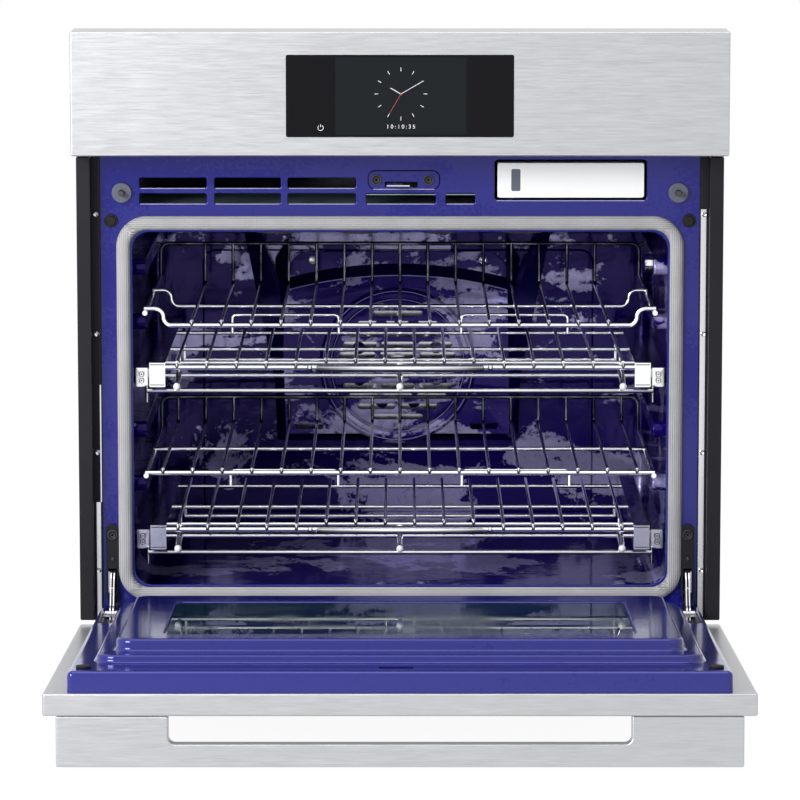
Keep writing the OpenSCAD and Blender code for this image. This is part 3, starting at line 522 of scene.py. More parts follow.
def make_grain():
    """An even moulded, cast or coated grain, with slow changes of tone."""
    tree, given, result = new_effect("fine grain", {"Colour": GREY, "Grain size": 900.0, "Variation": 0.08,
                                                    "Roughness": 0.5})
    place = own_place(tree)
    grain = noise(place, given["Grain size"], 2, 0.6)
    tone = noise(place, 9, 4, 0.55)
    swing = times(centred(tone), given["Variation"])
    dots = times(centred(grain), times(given["Variation"], 0.6))
    shade = plus(1, times(plus(swing, dots), 2.4))
    return give(tree, result, Colour=shaded(given["Colour"], shade), Height=grain,
                Roughness=plus(given["Roughness"], varied(tone, -0.05, 0.06)))


def make_wire():
    """Bright drawn wire, with painted shade towards the back of the oven. Pieces that carry their own facing also get
    painted shade on their sides and underneath."""
    tree, given, result = new_effect("drawn wire", {"Chrome": GREY, "Painted shade": GREY, "Roughness": 0.15,
                                                    "Back edge": 0.38})
    place = own_place(tree)
    facing = parts_of(shader_node(tree, "ShaderNodeAttribute", {}, attribute_name=FACING).outputs["Vector"])
    below = ranged(facing["Z"], -0.65, -0.2, 1, 0)
    beside = ranged(size_of(facing["X"]), 0.02, 0.22, 0, 1)
    kept = ranged(facing["Z"], 0.2, 0.7, 1, 0.5)
    past_edge = arithmetic("GREATER_THAN", parts_of(place)["Y"], given["Back edge"])
    behind = times(past_edge, ranged(facing["Z"], 0.03, 0.16, 1, 0))
    shade_mask = greater(greater(below, behind), times(beside, kept))
    tone = noise(place, 26, 4, 0.6)
    # painted shade: the wire's sides, undersides and the parts behind the back edge take the dark smoke colour
    painted_shade = times(shade_mask, ranged(tone, 0.3, 0.6, 0.8, 1))
    return give(tree, result, Colour=mixed(painted_shade, given["Chrome"], given["Painted shade"]),
                Roughness=plus(given["Roughness"], varied(tone, -0.04, 0.06)),
                Height=noise(place, 700, 2))


def make_spangle():
    """The crystal flowers of zinc-coated sheet."""
    tree, given, result = new_effect("spangle", {"Zinc": GREY, "Flower size": 90.0, "Roughness": 0.42})
    place = own_place(tree)
    wobble = noise(place, 60, 2)
    drift = {axis: times(wobble, reach) for axis, reach in (("X", 0.006), ("Y", 0.004), ("Z", -0.005))}
    shifted = vectors("ADD", place, shader_node(tree, "ShaderNodeCombineXYZ", drift).outputs[0])
    flowers = cells(shifted, given["Flower size"])["Color"]
    tint = shader_node(tree, "ShaderNodeSeparateColor", {"Color": flowers}).outputs[0]
    return give(tree, result, Colour=shaded(given["Zinc"], ranged(tint, 0, 1, 0.9, 1.06, False)),
                Roughness=plus(given["Roughness"], ranged(tint, 0, 1, -0.08, 0.1, False)),
                Height=noise(place, 500, 2))


def make_fibres():
    """Loose mineral fibres in layers."""
    tree, given, result = new_effect("fibres", {"Wool": GREY, "Shadow": GREY, "Scale": 60.0})
    strands = noise(own_place(tree), given["Scale"], 8, 0.7, 2.2)
    layers = noise(stretched(tree, (8, 8, 90)), 1, 4, 0.6, 0.6)
    shadow = ranged(strands, 0.35, 0.62, 1, 0)
    return give(tree, result, Colour=mixed(shadow, given["Wool"], given["Shadow"]),
                Roughness=varied(layers, 0.85, 1), Height=plus(strands, times(layers, 0.6)))


HALF_WAVE, FULL_WAVE = 3.1416, 6.2832
SEAL_MAP = "along the seal"


def make_knit():
    """A braided glass-fibre sleeve, drawn along and across its own UV map, which is in metres."""
    tree, given, result = new_effect("knit", {"Yarn": GREY, "Gap": GREY, "Stitches": 480.0})
    seal = shader_node(tree, "ShaderNodeUVMap", uv_map=SEAL_MAP).outputs[0]
    along, across = [times(parts_of(seal)[axis], given["Stitches"]) for axis in "XY"]
    wander = times(noise(seal, 180, 2), 1.6)
    rib = size_of(arithmetic("SINE", times(across, HALF_WAVE)))
    chevron = plus(plus(along, wander), times(rib, 0.8))
    stitch = arithmetic("SINE", times(chevron, FULL_WAVE))
    fuzz = noise(seal, 1400, 3)
    height = plus(plus(times(stitch, 0.5), rib), times(fuzz, 0.5))
    shade = times(centred(noise(seal, 25, 3)), 0.5)
    tone = plus(ranged(height, 0.1, 1.3, 0, 1), shade)
    return give(tree, result, Colour=mixed(tone, given["Gap"], given["Yarn"]), Height=height,
                Roughness=varied(fuzz, 0.72, 0.9))


def finish_of(name, effect, values, bump=0.0, reach=0.0002, **shader):
    """A material: one effect feeds the shader, and the plain values stay on the shader's own sockets."""
    made = bpy.data.materials.new(name)
    made.use_nodes = True
    tree = made.node_tree
    principled = tree.nodes["Principled BSDF"].inputs
    for key, value in shader.items():
        principled[key.replace("_", " ")].default_value = value
    group = shader_node(tree, "ShaderNodeGroup", node_tree=effect)
    for key, value in values.items():
        group.inputs[key].default_value = value
    tree.links.new(group.outputs["Colour"], principled["Base Color"])
    tree.links.new(group.outputs["Roughness"], principled["Roughness"])
    if "Metallic" in group.outputs:
        tree.links.new(group.outputs["Metallic"], principled["Metallic"])
    if bump:
        raised = shader_node(tree, "ShaderNodeBump", {"Strength": bump, "Distance": reach,
                                                      "Height": group.outputs["Height"]})
        tree.links.new(raised.outputs[0], principled["Normal"])
    return made


BRUSHING, ENAMELLING, GRAIN, WIRE = make_brushing(), make_enamelling(), make_grain(), make_wire()
SPANGLE, FIBRES, KNIT = make_spangle(), make_fibres(), make_knit()


def enamelled(name, ground, bloom_and_reflection, speck, amount, patch, edge, roughness=0.14, peel=1.0, lustre=0.0, stipple=0.0,
              **more):
    values = {"Ground": (*ground, 1), "Bloom": (*bloom_and_reflection, 1), "Speck": (*speck, 1), "Bloom amount": amount,
              "Patch scale": patch, "Edge": edge, "Roughness": roughness, "Peel": peel, "Lustre": lustre,
              "Stipple": stipple}
    return finish_of(name, ENAMELLING, values, **more)


def grained(name, colour, grain, variation, roughness, **more):
    values = {"Colour": (*colour, 1), "Grain size": grain, "Variation": variation, "Roughness": roughness}
    return finish_of(name, GRAIN, values, **more)


def brushed(name, metal, stretch, roughness, **more):
    values = {"Metal": (*metal, 1), "Stretch": stretch, "Roughness": roughness, "Depth": 1}
    return finish_of(name, BRUSHING, values, bump=0.05, Metallic=1, **more)


stainless = brushed("brushed stainless", (0.5, 0.504, 0.52), (34, 820, 820), 0.38, reach=0.0001)
enamel = enamelled("blue enamel", (0.014, 0.0145, 0.15), (0.002, 0.002, 0.14), (0.004, 0.003, 0.1), 0.47, 5, 0.07,
                   stipple=0.42, bump=0.3, reach=0.0005, IOR=1.7, Specular_Tint=(0.46, 0.46, 1, 1))
enamel_door = enamelled("blue enamel on the door", (0.014, 0.0145, 0.15), (0.004, 0.004, 0.1), (0.004, 0.003, 0.1),
                        0.25, 5, 0.07, 0.12, stipple=0.3, bump=0.3, reach=0.0005, IOR=1.85,
                        Specular_Tint=(0.42, 0.44, 1, 1))
INNER_GLOSS = {"bump": 0.5, "reach": 0.0009, "IOR": 1.5, "Specular_Tint": (0.4, 0.3, 1, 1)}
# painted shade and painted reflections: a darker ground than the front enamel, with pale lavender patches that stand in
# for reflections
inside_enamel_painted_shade_and_reflections = enamelled("blue enamel inside, with painted shade and reflections", (0.007, 0.002, 0.1), (0.44, 0.42, 0.66), (0.002, 0.001, 0.04),
                          0.41, 8, 0.03, 0.09, lustre=0.42, stipple=0.05, **INNER_GLOSS)
# painted shade and painted reflections on the fan cover: a darker ground, with pale lavender patches that stand in for
# reflections
fan_enamel_painted_shade_and_reflections = enamelled("fan cover enamel, with painted shade and reflections", (0.011, 0.003, 0.13), (0.42, 0.4, 0.62), (0.002, 0.001, 0.04),
                        0.45, 12, 0.04, 0.09, lustre=0.28, stipple=0.06, **INNER_GLOSS)
# painted shade: the fan cover's sloped sides get a darker copy of the enamel for the dark band along the cover
skirt_enamel_painted_shade = enamelled("fan cover skirt enamel, darkened as painted shade", (0.003, 0.0015, 0.06), (0.008, 0.006, 0.1), (0.003, 0.002, 0.05),
                         0.4, 9, 0.2, 0.12, bump=0.3, reach=0.0006, IOR=1.4, Specular_Tint=(0.3, 0.25, 1, 1))
# painted highlight: pale lavender enamel for thin bright lines along folds and lips
painted_highlight_enamel = enamelled("enamel painted as a highlight", (0.42, 0.42, 0.66), (0.2, 0.2, 0.5), (0.3, 0.3, 0.5), 0.3, 14, 0.2,
                        peel=0.5, bump=0.1, IOR=1.8)
# the smoke colour of the wire is painted shade for its sides and for wire at the back of the oven
chrome = finish_of("chrome wire", WIRE, {"Chrome": (0.92, 0.93, 0.95, 1), "Painted shade": (0.03, 0.029, 0.045, 1),
                                         "Roughness": 0.14}, bump=0.03, Metallic=1)
galvanised = finish_of("galvanised sheet", SPANGLE, {"Zinc": (0.6, 0.615, 0.63, 1), "Flower size": 140,
                                                     "Roughness": 0.42}, bump=0.05, Metallic=1)
zinc_steel = grained("zinc steel", (0.72, 0.725, 0.75), 900, 0.1, 0.26, bump=0.05, Metallic=1)
black_paint = grained("black paint", (0.011, 0.0105, 0.014), 1500, 0.15, 0.42, bump=0.12, reach=0.0001,
                      Specular_IOR_Level=0.18)
dark_steel = grained("blackened steel", (0.03, 0.03, 0.034), 900, 0.2, 0.5, bump=0.1, Specular_IOR_Level=0.35)
# painted shade: the air duct seen through the vent slots gets a dark colour for the shade inside it
duct_sheet_painted_shade = grained("duct sheet darkened as painted shade", (0.2, 0.27, 0.3), 700, 0.25, 0.5, bump=0.05)
# painted shade: near-black for gaps, recesses and creases
painted_shade_black = grained("black painted as shade", (0.004, 0.004, 0.005), 900, 0.2, 0.7, Specular_IOR_Level=0.05)
display_glass = grained("display glass", (0.004, 0.004, 0.005), 60, 0.04, 0.06, Specular_IOR_Level=0.12)
screen = grained("lit screen", (0.008, 0.0105, 0.013), 40, 0.05, 0.07, Specular_IOR_Level=0.12)
black_glass = grained("dark door glass", (0.006, 0.0065, 0.0075), 30, 0.1, 0.06, IOR=1.5, Specular_IOR_Level=0.35)
door_glass = grained("tinted door glass", (0.008, 0.03, 0.045), 30, 0.3, 0.04, IOR=1.6,
                     Specular_Tint=(0.5, 0.75, 1, 1))
grey_plastic = grained("grey plastic", (0.085, 0.09, 0.13), 1300, 0.1, 0.4, bump=0.1)
white_plastic = grained("white plastic", (0.83, 0.83, 0.83), 1300, 0.01, 0.3, bump=0.03)
knit = finish_of("gasket knit", KNIT, {"Yarn": (0.56, 0.56, 0.57, 1), "Gap": (0.17, 0.17, 0.18, 1),
                                       "Stitches": 430}, bump=0.6, reach=0.0008)
print_white = grained("white print", (0.75, 0.76, 0.78), 900, 0.02, 0.3)
print_red = grained("red print", (0.55, 0.07, 0.05), 900, 0.02, 0.3)

FINISHES = {
    "galvanised": galvanised, "stainless": stainless, "blue_enamel": enamel, "black_paint": black_paint,
    "display_glass": display_glass, "door_glass": door_glass, "grey_plastic": grey_plastic,
    "white_plastic": white_plastic, "gasket_weave": knit, "chrome_wire": chrome, "zinc_steel": zinc_steel,
    "black_rubber": grained("black rubber", (0.009, 0.009, 0.01), 1200, 0.2, 0.62, bump=0.15, Specular_IOR_Level=0.2),
    "clear_glass": grained("clear glass", (0.78, 0.86, 0.86), 60, 0.03, 0.05, Transmission_Weight=0.85, IOR=1.5),
    "electronics": grained("circuit board", (0.02, 0.11, 0.05), 400, 0.4, 0.4, bump=0.1),
    "dark_plastic": grained("dark plastic", (0.03, 0.03, 0.034), 1300, 0.1, 0.45, bump=0.1),
    "tank_plastic": grained("water tank plastic", (0.8, 0.84, 0.88), 500, 0.03, 0.28, Transmission_Weight=0.5,
                            IOR=1.48),
    "mineral_wool": finish_of("mineral wool", FIBRES, {"Wool": (0.62, 0.53, 0.33, 1), "Shadow": (0.3, 0.24, 0.13, 1),
                                                       "Scale": 55}, bump=0.8, reach=0.004),
    "heater_sheath": grained("heater sheath", (0.1, 0.075, 0.06), 500, 0.45, 0.5, bump=0.15, Metallic=0.7),
    "lamp_ceramic": grained("lamp ceramic", (0.8, 0.77, 0.68), 600, 0.06, 0.45, bump=0.1),
    "motor_paint": grained("motor paint", (0.1, 0.1, 0.105), 800, 0.2, 0.4, bump=0.2),
    "fan_steel": brushed("fan steel", (0.5, 0.52, 0.56), (120, 120, 12), 0.2)}
SLOT_OF = {row["node"]: row["material_slot"] for row in frame["record"]["subparts"]}
# the air duct takes the duct sheet darkened as painted shade
for name, cad in frame["nodes"].items():
    cad.data.materials.clear()
    cad.data.materials.append(duct_sheet_painted_shade if name == "air_duct" else FINISHES[SLOT_OF[name]])


# ---------- control panel ----------

DISPLAY_HOLE = (-130.3, 130.3, 630.5, 724.1, 2)
FASCIA = (-FRONT_HW, FRONT_HW, *FASCIA_Z, 2.2)
GLASS_Y = FACE_Y - 0.4

fascia = pressed([(DISPLAY_HOLE, 0, FACE_Y + SHEET), (DISPLAY_HOLE, 0, FACE_Y + 0.5), (DISPLAY_HOLE, 0.5, FACE_Y)]
                 + fold(FASCIA, -2, FACE_Y, 2) + [(FASCIA, 0, 0)])
finished("control_panel", walled(fascia, SHEET), stainless, "chassis", ["control_fascia"])
finished("display_pane", block(DISPLAY[:2], (GLASS_Y, -60.4), DISPLAY[2:], 1.7, 1, 0.5), display_glass,
         "chassis", ["touchscreen_glass"])
finished("display_screen", block((-74, 76), (GLASS_Y - 0.04, GLASS_Y), (633.6, 721.2), 0.3, 1, 0), screen,
         "chassis")

CLOCK = Vector((1, GLASS_Y - 0.05, 679.8))
HOURS = 12


def clock_bar(turn, r0, r1, width, depth=0.03):
    """A flat bar on the clock, pointing at an angle from twelve."""
    bar = box_at((-width / 2, width / 2), (-depth, depth), (r0, r1))
    bmesh.ops.rotate(bar, cent=(0, 0, 0), matrix=Matrix.Rotation(math.radians(turn), 3, "Y"), verts=bar.verts)
    moved(bar, CLOCK)
    return bar


def numerals(text, size, at):
    """Plain numbers, as raised print."""
    curve = bpy.data.curves.new("numerals", "FONT")
    curve.body = text
    curve.size = size
    curve.space_character = 1.5
    curve.align_x = "CENTER"
    curve.extrude = 0.02
    return stood_up(from_curve(curve), at)


def power_mark(x, z, r):
    """A ring open at the top with a bar in the gap."""
    turns = [math.radians(38 + 284 * i / 24) for i in range(25)]
    ring = [Vector((x + r * math.sin(a), CLOCK.y, z + r * math.cos(a))) for a in turns]
    bar = [Vector((x, CLOCK.y, z + 0.3 * r)), Vector((x, CLOCK.y, z + 1.3 * r))]
    mark = joined([wires([run], 0.34) for run in (ring, bar)])
    flatten_about = Matrix.Translation(-Vector((0, CLOCK.y, 0)))
    bmesh.ops.scale(mark, vec=(1, 0.1, 1), space=flatten_about, verts=mark.verts)
    return mark


ticks = [clock_bar(360 / HOURS * hour, 25.9, 30.2, 0.62) for hour in range(HOURS)]
hands = [clock_bar(-60, -1.2, 13.8, 0.8, 0.035), clock_bar(60, -1.2, 29.8, 0.62, 0.035)]
second_hand = [clock_bar(210, -1.5, 26.5, 0.45), disc(CLOCK, 1.1, (-0.06, 0.02), edge=0, sides=20)]
for name, bm, ink in (("clock_ticks", joined(ticks), print_white), ("clock_hands", joined(hands), print_white),
                      ("clock_second_hand", joined(second_hand), print_red),
                      ("clock_numerals", numerals("10:10:35", 6.4, (CLOCK.x, CLOCK.y, 640.2)), print_white),
                      ("power_mark", power_mark(-91, 641, 3.1), print_white)):
    finished(name, bm, ink, "chassis")

# ---------- enamelled front ----------

LIP = 1.4
SLOT_XS = [(-303.1, -224.9), (-215.7, -138.7), (-130.6, -51.3)]
LOW_SLOT_XS = [(-39.4, 41.5), (53.1, 87.2)]
SLOT_ROWS = [(571.6, SLOT_XS), (553.4, SLOT_XS), (553.4, LOW_SLOT_XS)]
SLOT_HH = 5.8
SLOTS = [(x0, x1, z - SLOT_HH, z + SLOT_HH, 1.8) for z, spans in SLOT_ROWS for x0, x1 in spans]
TANK = (113.3, 283.5, 554.8, 595.1)
TANK_OPENING = (TANK[0] - 3.2, TANK[1] + 3.2, TANK[2] - 3.2, TANK[3] + 3.2, 4)
LATCH_OPENING = (-21, 24, 566.8, 574.8, 0.6)
HINGE_OPENINGS = [(side * HINGE_X - 5, side * HINGE_X + 5, 62.9, 118.9, 0.6) for side in SIDES]
SWITCHES = [(-323.5, 560.4), (323.5, 560.4)]
SWITCH_HOLE_R = 8.2
RETURN_Y, RETURN_Z = (0.5, 20), (61, 639)


def grown(outline, by):
    x0, x1, z0, z1, r = outline
    return x0 - by, x1 + by, z0 - by, z1 + by, r + by


def rolled_lip(outline, depth):
    """The edge of an opening, rolled inward with a round fold."""
    lip = pressed(fold(outline, LIP, 0, LIP, 5) + [(outline, 0, depth), (outline, 1, depth),
                                                  (outline, LIP, LIP + 0.05)], close=True)
    bmesh.ops.recalc_face_normals(lip, faces=lip.faces)
    return lip


def draw_front(curve):
    lipped = [grown(outline, LIP) for outline in SLOTS + [TANK_OPENING, MOUTH]]
    for outline in [(-FRAME_HW, FRAME_HW, *FRAME_Z, 6)] + lipped + [LATCH_OPENING] + HINGE_OPENINGS:
        flat_outline(curve, *outline)
    for x, z in SWITCHES:
        round_outline(curve, x, z, SWITCH_HOLE_R)


front = [flat_piece(draw_front, (0, ENAMEL), 0.05, 2),
         block((FRAME_HW - ENAMEL, FRAME_HW), RETURN_Y, RETURN_Z, edge=0.3),
         block((-FRAME_HW, -FRAME_HW + ENAMEL), RETURN_Y, RETURN_Z, edge=0.3),
         block((-FRAME_HW + 6, FRAME_HW - 6), RETURN_Y, (FRAME_Z[0], FRAME_Z[0] + ENAMEL), edge=0.3),
         rolled_lip(TANK_OPENING, 5), rolled_lip(MOUTH, 2.4)]
finished("front_enamel", joined(front), enamel, "chassis", ["front_frame"])
finished("vent_slot_lips", joined([rolled_lip(outline, 5) for outline in SLOTS]), enamel, "chassis")
# painted highlight: pale bars under the slots, the latch and the tank opening stand in for light caught by the lower
# lips
lower_highlight_bars = [block((x0 + 1.2, x1 - 1.2), (-0.3, 0.9), (z0 - 1.1, z0 - 0.2), 0, 1, 0.35) for x0, x1, z0, _, _ in SLOTS]
lower_highlight_bars += [block((-31, 40), (-0.9, 0.6), (563.9, 564.8), 0, 1, 0.3),
              block((TANK[0] - 1, TANK[1] + 1), (-0.3, 0.9), (550.4, 551.3), 0, 1, 0.35)]
finished("painted_highlight_lower_bars", joined(lower_highlight_bars), painted_highlight_enamel, "chassis")

# ---------- gasket ----------

GASKET = (-330.5, 330.5, 78.5, 532.9, 36)
GASKET_W, GASKET_H = 16, 7.8
GASKET_SIDES = 12


def map_seal(bm, outline, across_of):
    """Gives the seal its own map: metres along it, and metres across it."""
    x0, x1, z0, z1, _ = outline
    layer = bm.loops.layers.uv.new(SEAL_MAP)
    centre = Vector(((x0 + x1) / 2, (z0 + z1) / 2))
    half = Vector(((x1 - x0) / 2, (z1 - z0) / 2))
    whole = 4 * (half.x + half.y)

    def along(co):
        d = Vector((co.x, co.z)) - centre
        if abs(d.x) / half.x > abs(d.y) / half.y:
            run = half.x + half.y + d.y if d.x > 0 else 3 * half.x + 3 * half.y - d.y
        else:
            run = half.x + d.x if d.y < 0 else 3 * half.x + 2 * half.y - d.x
        return run % whole

    for f in bm.faces:
        runs = [along(loop.vert.co) for loop in f.loops]
        over_the_start = max(runs) - min(runs) > whole / 2
        for loop, run in zip(f.loops, runs):
            if over_the_start and run < whole / 2:
                run += whole
            loop[layer].uv = (run * MM, across_of(loop.vert.co) * MM)


def across_seal(co):
    inward = min(GASKET[1] - abs(co.x), co.z - GASKET[2], GASKET[3] - co.z)
    return min(max(inward, 0), GASKET_W)


rows = []
for i in range(GASKET_SIDES + 1):
    a = math.pi * i / GASKET_SIDES
    height = GASKET_H * math.sin(a) ** 0.8 if 0 < i < GASKET_SIDES else 0
    rows.append((GASKET, -GASKET_W / 2 * (1 - math.cos(a)), -height))
seal = pressed(rows, segments=10, close=True)
bmesh.ops.recalc_face_normals(seal, faces=seal.faces)
straights = [e for e in seal.edges if e.calc_length() > 150]
bmesh.ops.subdivide_edges(seal, edges=straights, cuts=24, use_grid_fill=True)
map_seal(seal, GASKET, across_seal)
finished("door_gasket", seal, knit, "chassis", ["gasket"], angle=60)

# ---------- cavity ----------

BACK_PANEL = (-250, 245, 105, 441.6, 16)
BACK_R = 12
RIB_H = 19

rows = [(CAVITY, 8, 1.8), (CAVITY, 0.4, 1.8), (CAVITY, 0, 2.4), (CAVITY, 0, CAVITY_BACK - BACK_R)]
rows += turned_in(CAVITY, BACK_R, CAVITY_BACK, 5)[1:] + step_up(BACK_PANEL, CAVITY_BACK, CAVITY_BACK - 3, 1.4)
shell = capped(pressed(rows))
front_rim = [f for f in shell.faces if len(f.verts) > 20 and f.calc_center_median().y < 10]
bmesh.ops.delete(shell, geom=front_rim, context="FACES_ONLY")
bmesh.ops.recalc_face_normals(shell, faces=shell.faces)
bmesh.ops.reverse_faces(shell, faces=shell.faces)
bmesh.ops.solidify(shell, geom=list(shell.faces), thickness=SHEET)
ribs = [mirrored(block((RIB_HW, 316), (42, CAVITY_BACK - 15), (level - RIB_H, level), 9.4, 0, 5, 4))
        for level in RIB_LEVELS]
finished("oven_cavity", joined([shell] + ribs), inside_enamel_painted_shade_and_reflections, "chassis", ["cavity_liner"])

# ---------- fan cover ----------

BOSS_R, GRILLE_R = 97, 83
GRILLE_PITCH = 13.2
COVER_HW, BROW_R = 160, 545


def turned(profile, centre, steps=72):
    """Spins a profile of (radius, depth) points about an axis along Y."""
    bm = bmesh.new()
    verts = [bm.verts.new((centre[0] + r, y, centre[1])) for r, y in profile]
    edges = [bm.edges.new(pair) for pair in zip(verts, verts[1:])]
    bmesh.ops.spin(bm, geom=verts + edges, cent=(centre[0], 0, centre[1]), axis=(0, 1, 0), angle=2 * math.pi,
                   steps=steps, use_merge=True)
    bmesh.ops.remove_doubles(bm, verts=bm.verts, dist=0.001)
    bmesh.ops.recalc_face_normals(bm, faces=bm.faces)
    return bm


def cover_outline(curve, inset):
    """The outline of the fan cover: nearly square, with a bowed top."""
    x, z = FAN
    foot = z - 100 + inset
    points = [(x - 154 + inset, foot), (x + 154 - inset, foot), (x + COVER_HW - inset, z + 103)]
    for turn in range(0, 181, 6):
        px = x + (COVER_HW - inset) * math.cos(math.radians(turn))
        points.append((px, z + 128 - BROW_R + math.sqrt((BROW_R - inset) ** 2 - (px - x) ** 2)))
    points.append((x - COVER_HW + inset, z + 103))
    spline = curve.splines.new("POLY")
    spline.use_cyclic_u = True
    spline.points.add(len(points) - 1)
    for point, at in zip(spline.points, points):
        point.co = (*at, 0, 1)


def cover_points(inset):
    curve = bpy.data.curves.new("outline", "CURVE")
    cover_outline(curve, inset)
    points = [(point.co.x, point.co.y) for point in curve.splines[0].points]
    bpy.data.curves.remove(curve)
    return points


def grille_slots():
    x, z = FAN
    for row in range(-5, 6):
        half = math.sqrt(78 ** 2 - (abs(row) * GRILLE_PITCH + 4) ** 2)
        count = max(1, int(2 * half / 42))
        step = 2 * half / count
        level = z + row * GRILLE_PITCH
        for i in range(count):
            left = x - half + i * step
            yield left + 2.5, left + step - 2.5, level - 3.6, level + 3.6, 3.5


def draw_cover(curve):
    cover_outline(curve, 12.9)
    round_outline(curve, *FAN, BOSS_R + 1)
    for shift in (-112, 110):
        flat_outline(curve, FAN[0] + shift - 18, FAN[0] + shift + 18, FAN[1] - 82, FAN[1] - 74, 3.5)


def draw_grille(curve):
    round_outline(curve, *FAN, GRILLE_R)
    for slot in grille_slots():
        flat_outline(curve, *slot)


def draw_flange(curve):
    flat_outline(curve, FAN[0] - 140, FAN[0] + 140, FAN[1] + 84, FAN[1] + 143, 29)


def sloped_skirt(rows):
    """The cover's side walls, drawn as outlines joined front to back. A row is an inset and a depth."""
    bm = bmesh.new()
    loops = []
    for inset, y in rows:
        verts = [bm.verts.new((x, y, z)) for x, z in cover_points(inset)]
        loops.append([bm.edges.new(pair) for pair in zip(verts, verts[1:] + verts[:1])])
    for a, b in zip(loops, loops[1:]):
        bmesh.ops.bridge_loops(bm, edges=a + b)
    return walled(bm, 1)


def highlight_ring(r, y):
    profile = [(-0.45, 0.4), (-0.45, -0.1), (0, -0.35), (0.45, -0.1), (0.45, 0.4), (-0.45, 0.4)]
    return turned([(r + out, y + back) for out, back in profile], FAN, 96)


# painted highlight: thin pale rings and a line along the brow stand in for highlights on the fan cover's folds
brow_highlight_line = [Vector((x, BAFFLE_Y - 0.1, z)) for x, z in cover_points(13.4) if z > FAN[1] + 84]
highlight_lines = [highlight_ring(BOSS_R - 2, BAFFLE_Y - 4), highlight_ring(GRILLE_R + 1.4, BAFFLE_Y - 3.1), wires([brow_highlight_line], 0.5)]
finished("fan_cover_painted_highlight_lines", joined(highlight_lines), painted_highlight_enamel, "chassis", ["fan_baffle"])
skirt = sloped_skirt([(13, BAFFLE_Y), (11.7, BAFFLE_Y + 0.5), (10.7, BAFFLE_Y + 1.6), (1.2, CAVITY_BACK - 7),
                      (0.3, CAVITY_BACK - 5), (0.1, CAVITY_BACK - 3)])
finished("fan_cover_skirt", skirt, skirt_enamel_painted_shade, "chassis", ["fan_baffle"])
BOSS_PROFILE = [(BOSS_R + out, BAFFLE_Y + back) for out, back in (
    (3, 0.7), (1.6, -0.8), (0.6, -2.6), (-1, -3.8), (-3, -4), (-4.6, -3.2), (-5.6, -1.8))]
BOSS_PROFILE += [(GRILLE_R + out, BAFFLE_Y + back) for out, back in (
    (3.4, -1.6), (2.2, -2.8), (0.6, -3.2), (-0.8, -2.2), (-1.4, 1.4))]
BOSS_PROFILE += [(BOSS_R + 3, BAFFLE_Y + 1.6), (BOSS_R + 3, BAFFLE_Y + 0.7)]
cover = [flat_piece(draw_cover, (BAFFLE_Y, BAFFLE_Y + 1.4), 0.5), turned(BOSS_PROFILE, FAN),
         flat_piece(draw_grille, (BAFFLE_Y - 0.4, BAFFLE_Y + 1.2), 0.5),
         flat_piece(draw_flange, (CAVITY_BACK - 5.6, CAVITY_BACK - 3), 0.9)]
finished("fan_cover", joined(cover), fan_enamel_painted_shade_and_reflections, "chassis", ["fan_baffle"])

# ---------- door ----------


def cut_out(bm, cutters):
    """The bmesh with the cutters taken out of it."""
    made = []
    for part in [bm, joined(cutters)]:
        mesh = bpy.data.meshes.new("carrier")
        part.to_mesh(mesh)
        part.free()
        made.append(placed("carrier", mesh))
    cut = made[0].modifiers.new("cut", "BOOLEAN")
    cut.operation, cut.solver, cut.object = "DIFFERENCE", "EXACT", made[1]
    bpy.context.view_layer.update()
    mesh = bpy.data.meshes.new_from_object(made[0].evaluated_get(bpy.context.evaluated_depsgraph_get()))
    result = bmesh.new()
    result.from_mesh(mesh)
    for thing in made:
        data = thing.data
        bpy.data.objects.remove(thing)
        bpy.data.meshes.remove(data)
    bpy.data.meshes.remove(mesh)
    return result


def cut_clean(bm, cutters):
    """The same, with the points that the cut leaves double merged."""
    result = cut_out(bm, cutters)
    bmesh.ops.remove_doubles(result, verts=result.verts, dist=0.001)
    return result


DOOR = (-FRONT_HW, FRONT_HW, 31, 604, 3)
LINER = (-352, 352, 47, 600, 6)
LAND = (-325.6, 325.6, 73, 537, 22)
PLUG = (-306, 306, 125, 509, 18)
WINDOW = (-254, 254, 181, 465, 10)
GLASS_WINDOW = (-264, 264, 181, 465, 8)
REAR_OPENING = (-HINGE_X - 10, HINGE_X + 10, 48.4, 592, 3)

pan = [(GLASS_WINDOW, 0, FACE_Y + SHEET), (GLASS_WINDOW, 0.4, FACE_Y)] + fold(DOOR, -2.5, FACE_Y, 2.5)
pan += turned_in(DOOR, 2, RIM_Y) + [(REAR_OPENING, 0, RIM_Y)]
finished("door_pan", opened(walled(pressed(pan), SHEET)), stainless, "door", ["door_shell"])

rows = [(LINER, 0, RIM_Y + 0.2)] + turned_in(LINER, 6, LINER_Y, 5)
rows += step_up(LAND, LINER_Y, LAND_Y, 3.6) + step_up(PLUG, LAND_Y, PLUG_Y, 4.5)
rows += fold(WINDOW, 4, PLUG_Y, -4) + [(WINDOW, 0, PLUG_Y - 6)]
liner = walled(pressed(rows, segments=8), ENAMEL)
notches = [box_at((side * HINGE_X - 8, side * HINGE_X + 8), (RIM_Y - 5, LAND_Y + 3), (40, 204.9)) for side in SIDES]
notches.append(box_at((-22, 14), (RIM_Y - 5, LINER_Y + 3), (562.8, 578.8)))
finished("door_inner_panel", opened(cut_out(liner, notches)), enamel_door, "door", ["door_liner"],
         angle=30)

finished("door_window_inner", opened(block((-262, 262), (-0.8, 4.2), (173, 473), 2, 1, 0.6)), door_glass,
         "door", ["door_inner_glass"])
finished("door_window_outer", opened(block((-276, 276), (-62.5, -58.5), (169, 477), 8, 1, 0.6)), black_glass,
         "door", ["door_outer_glass"])

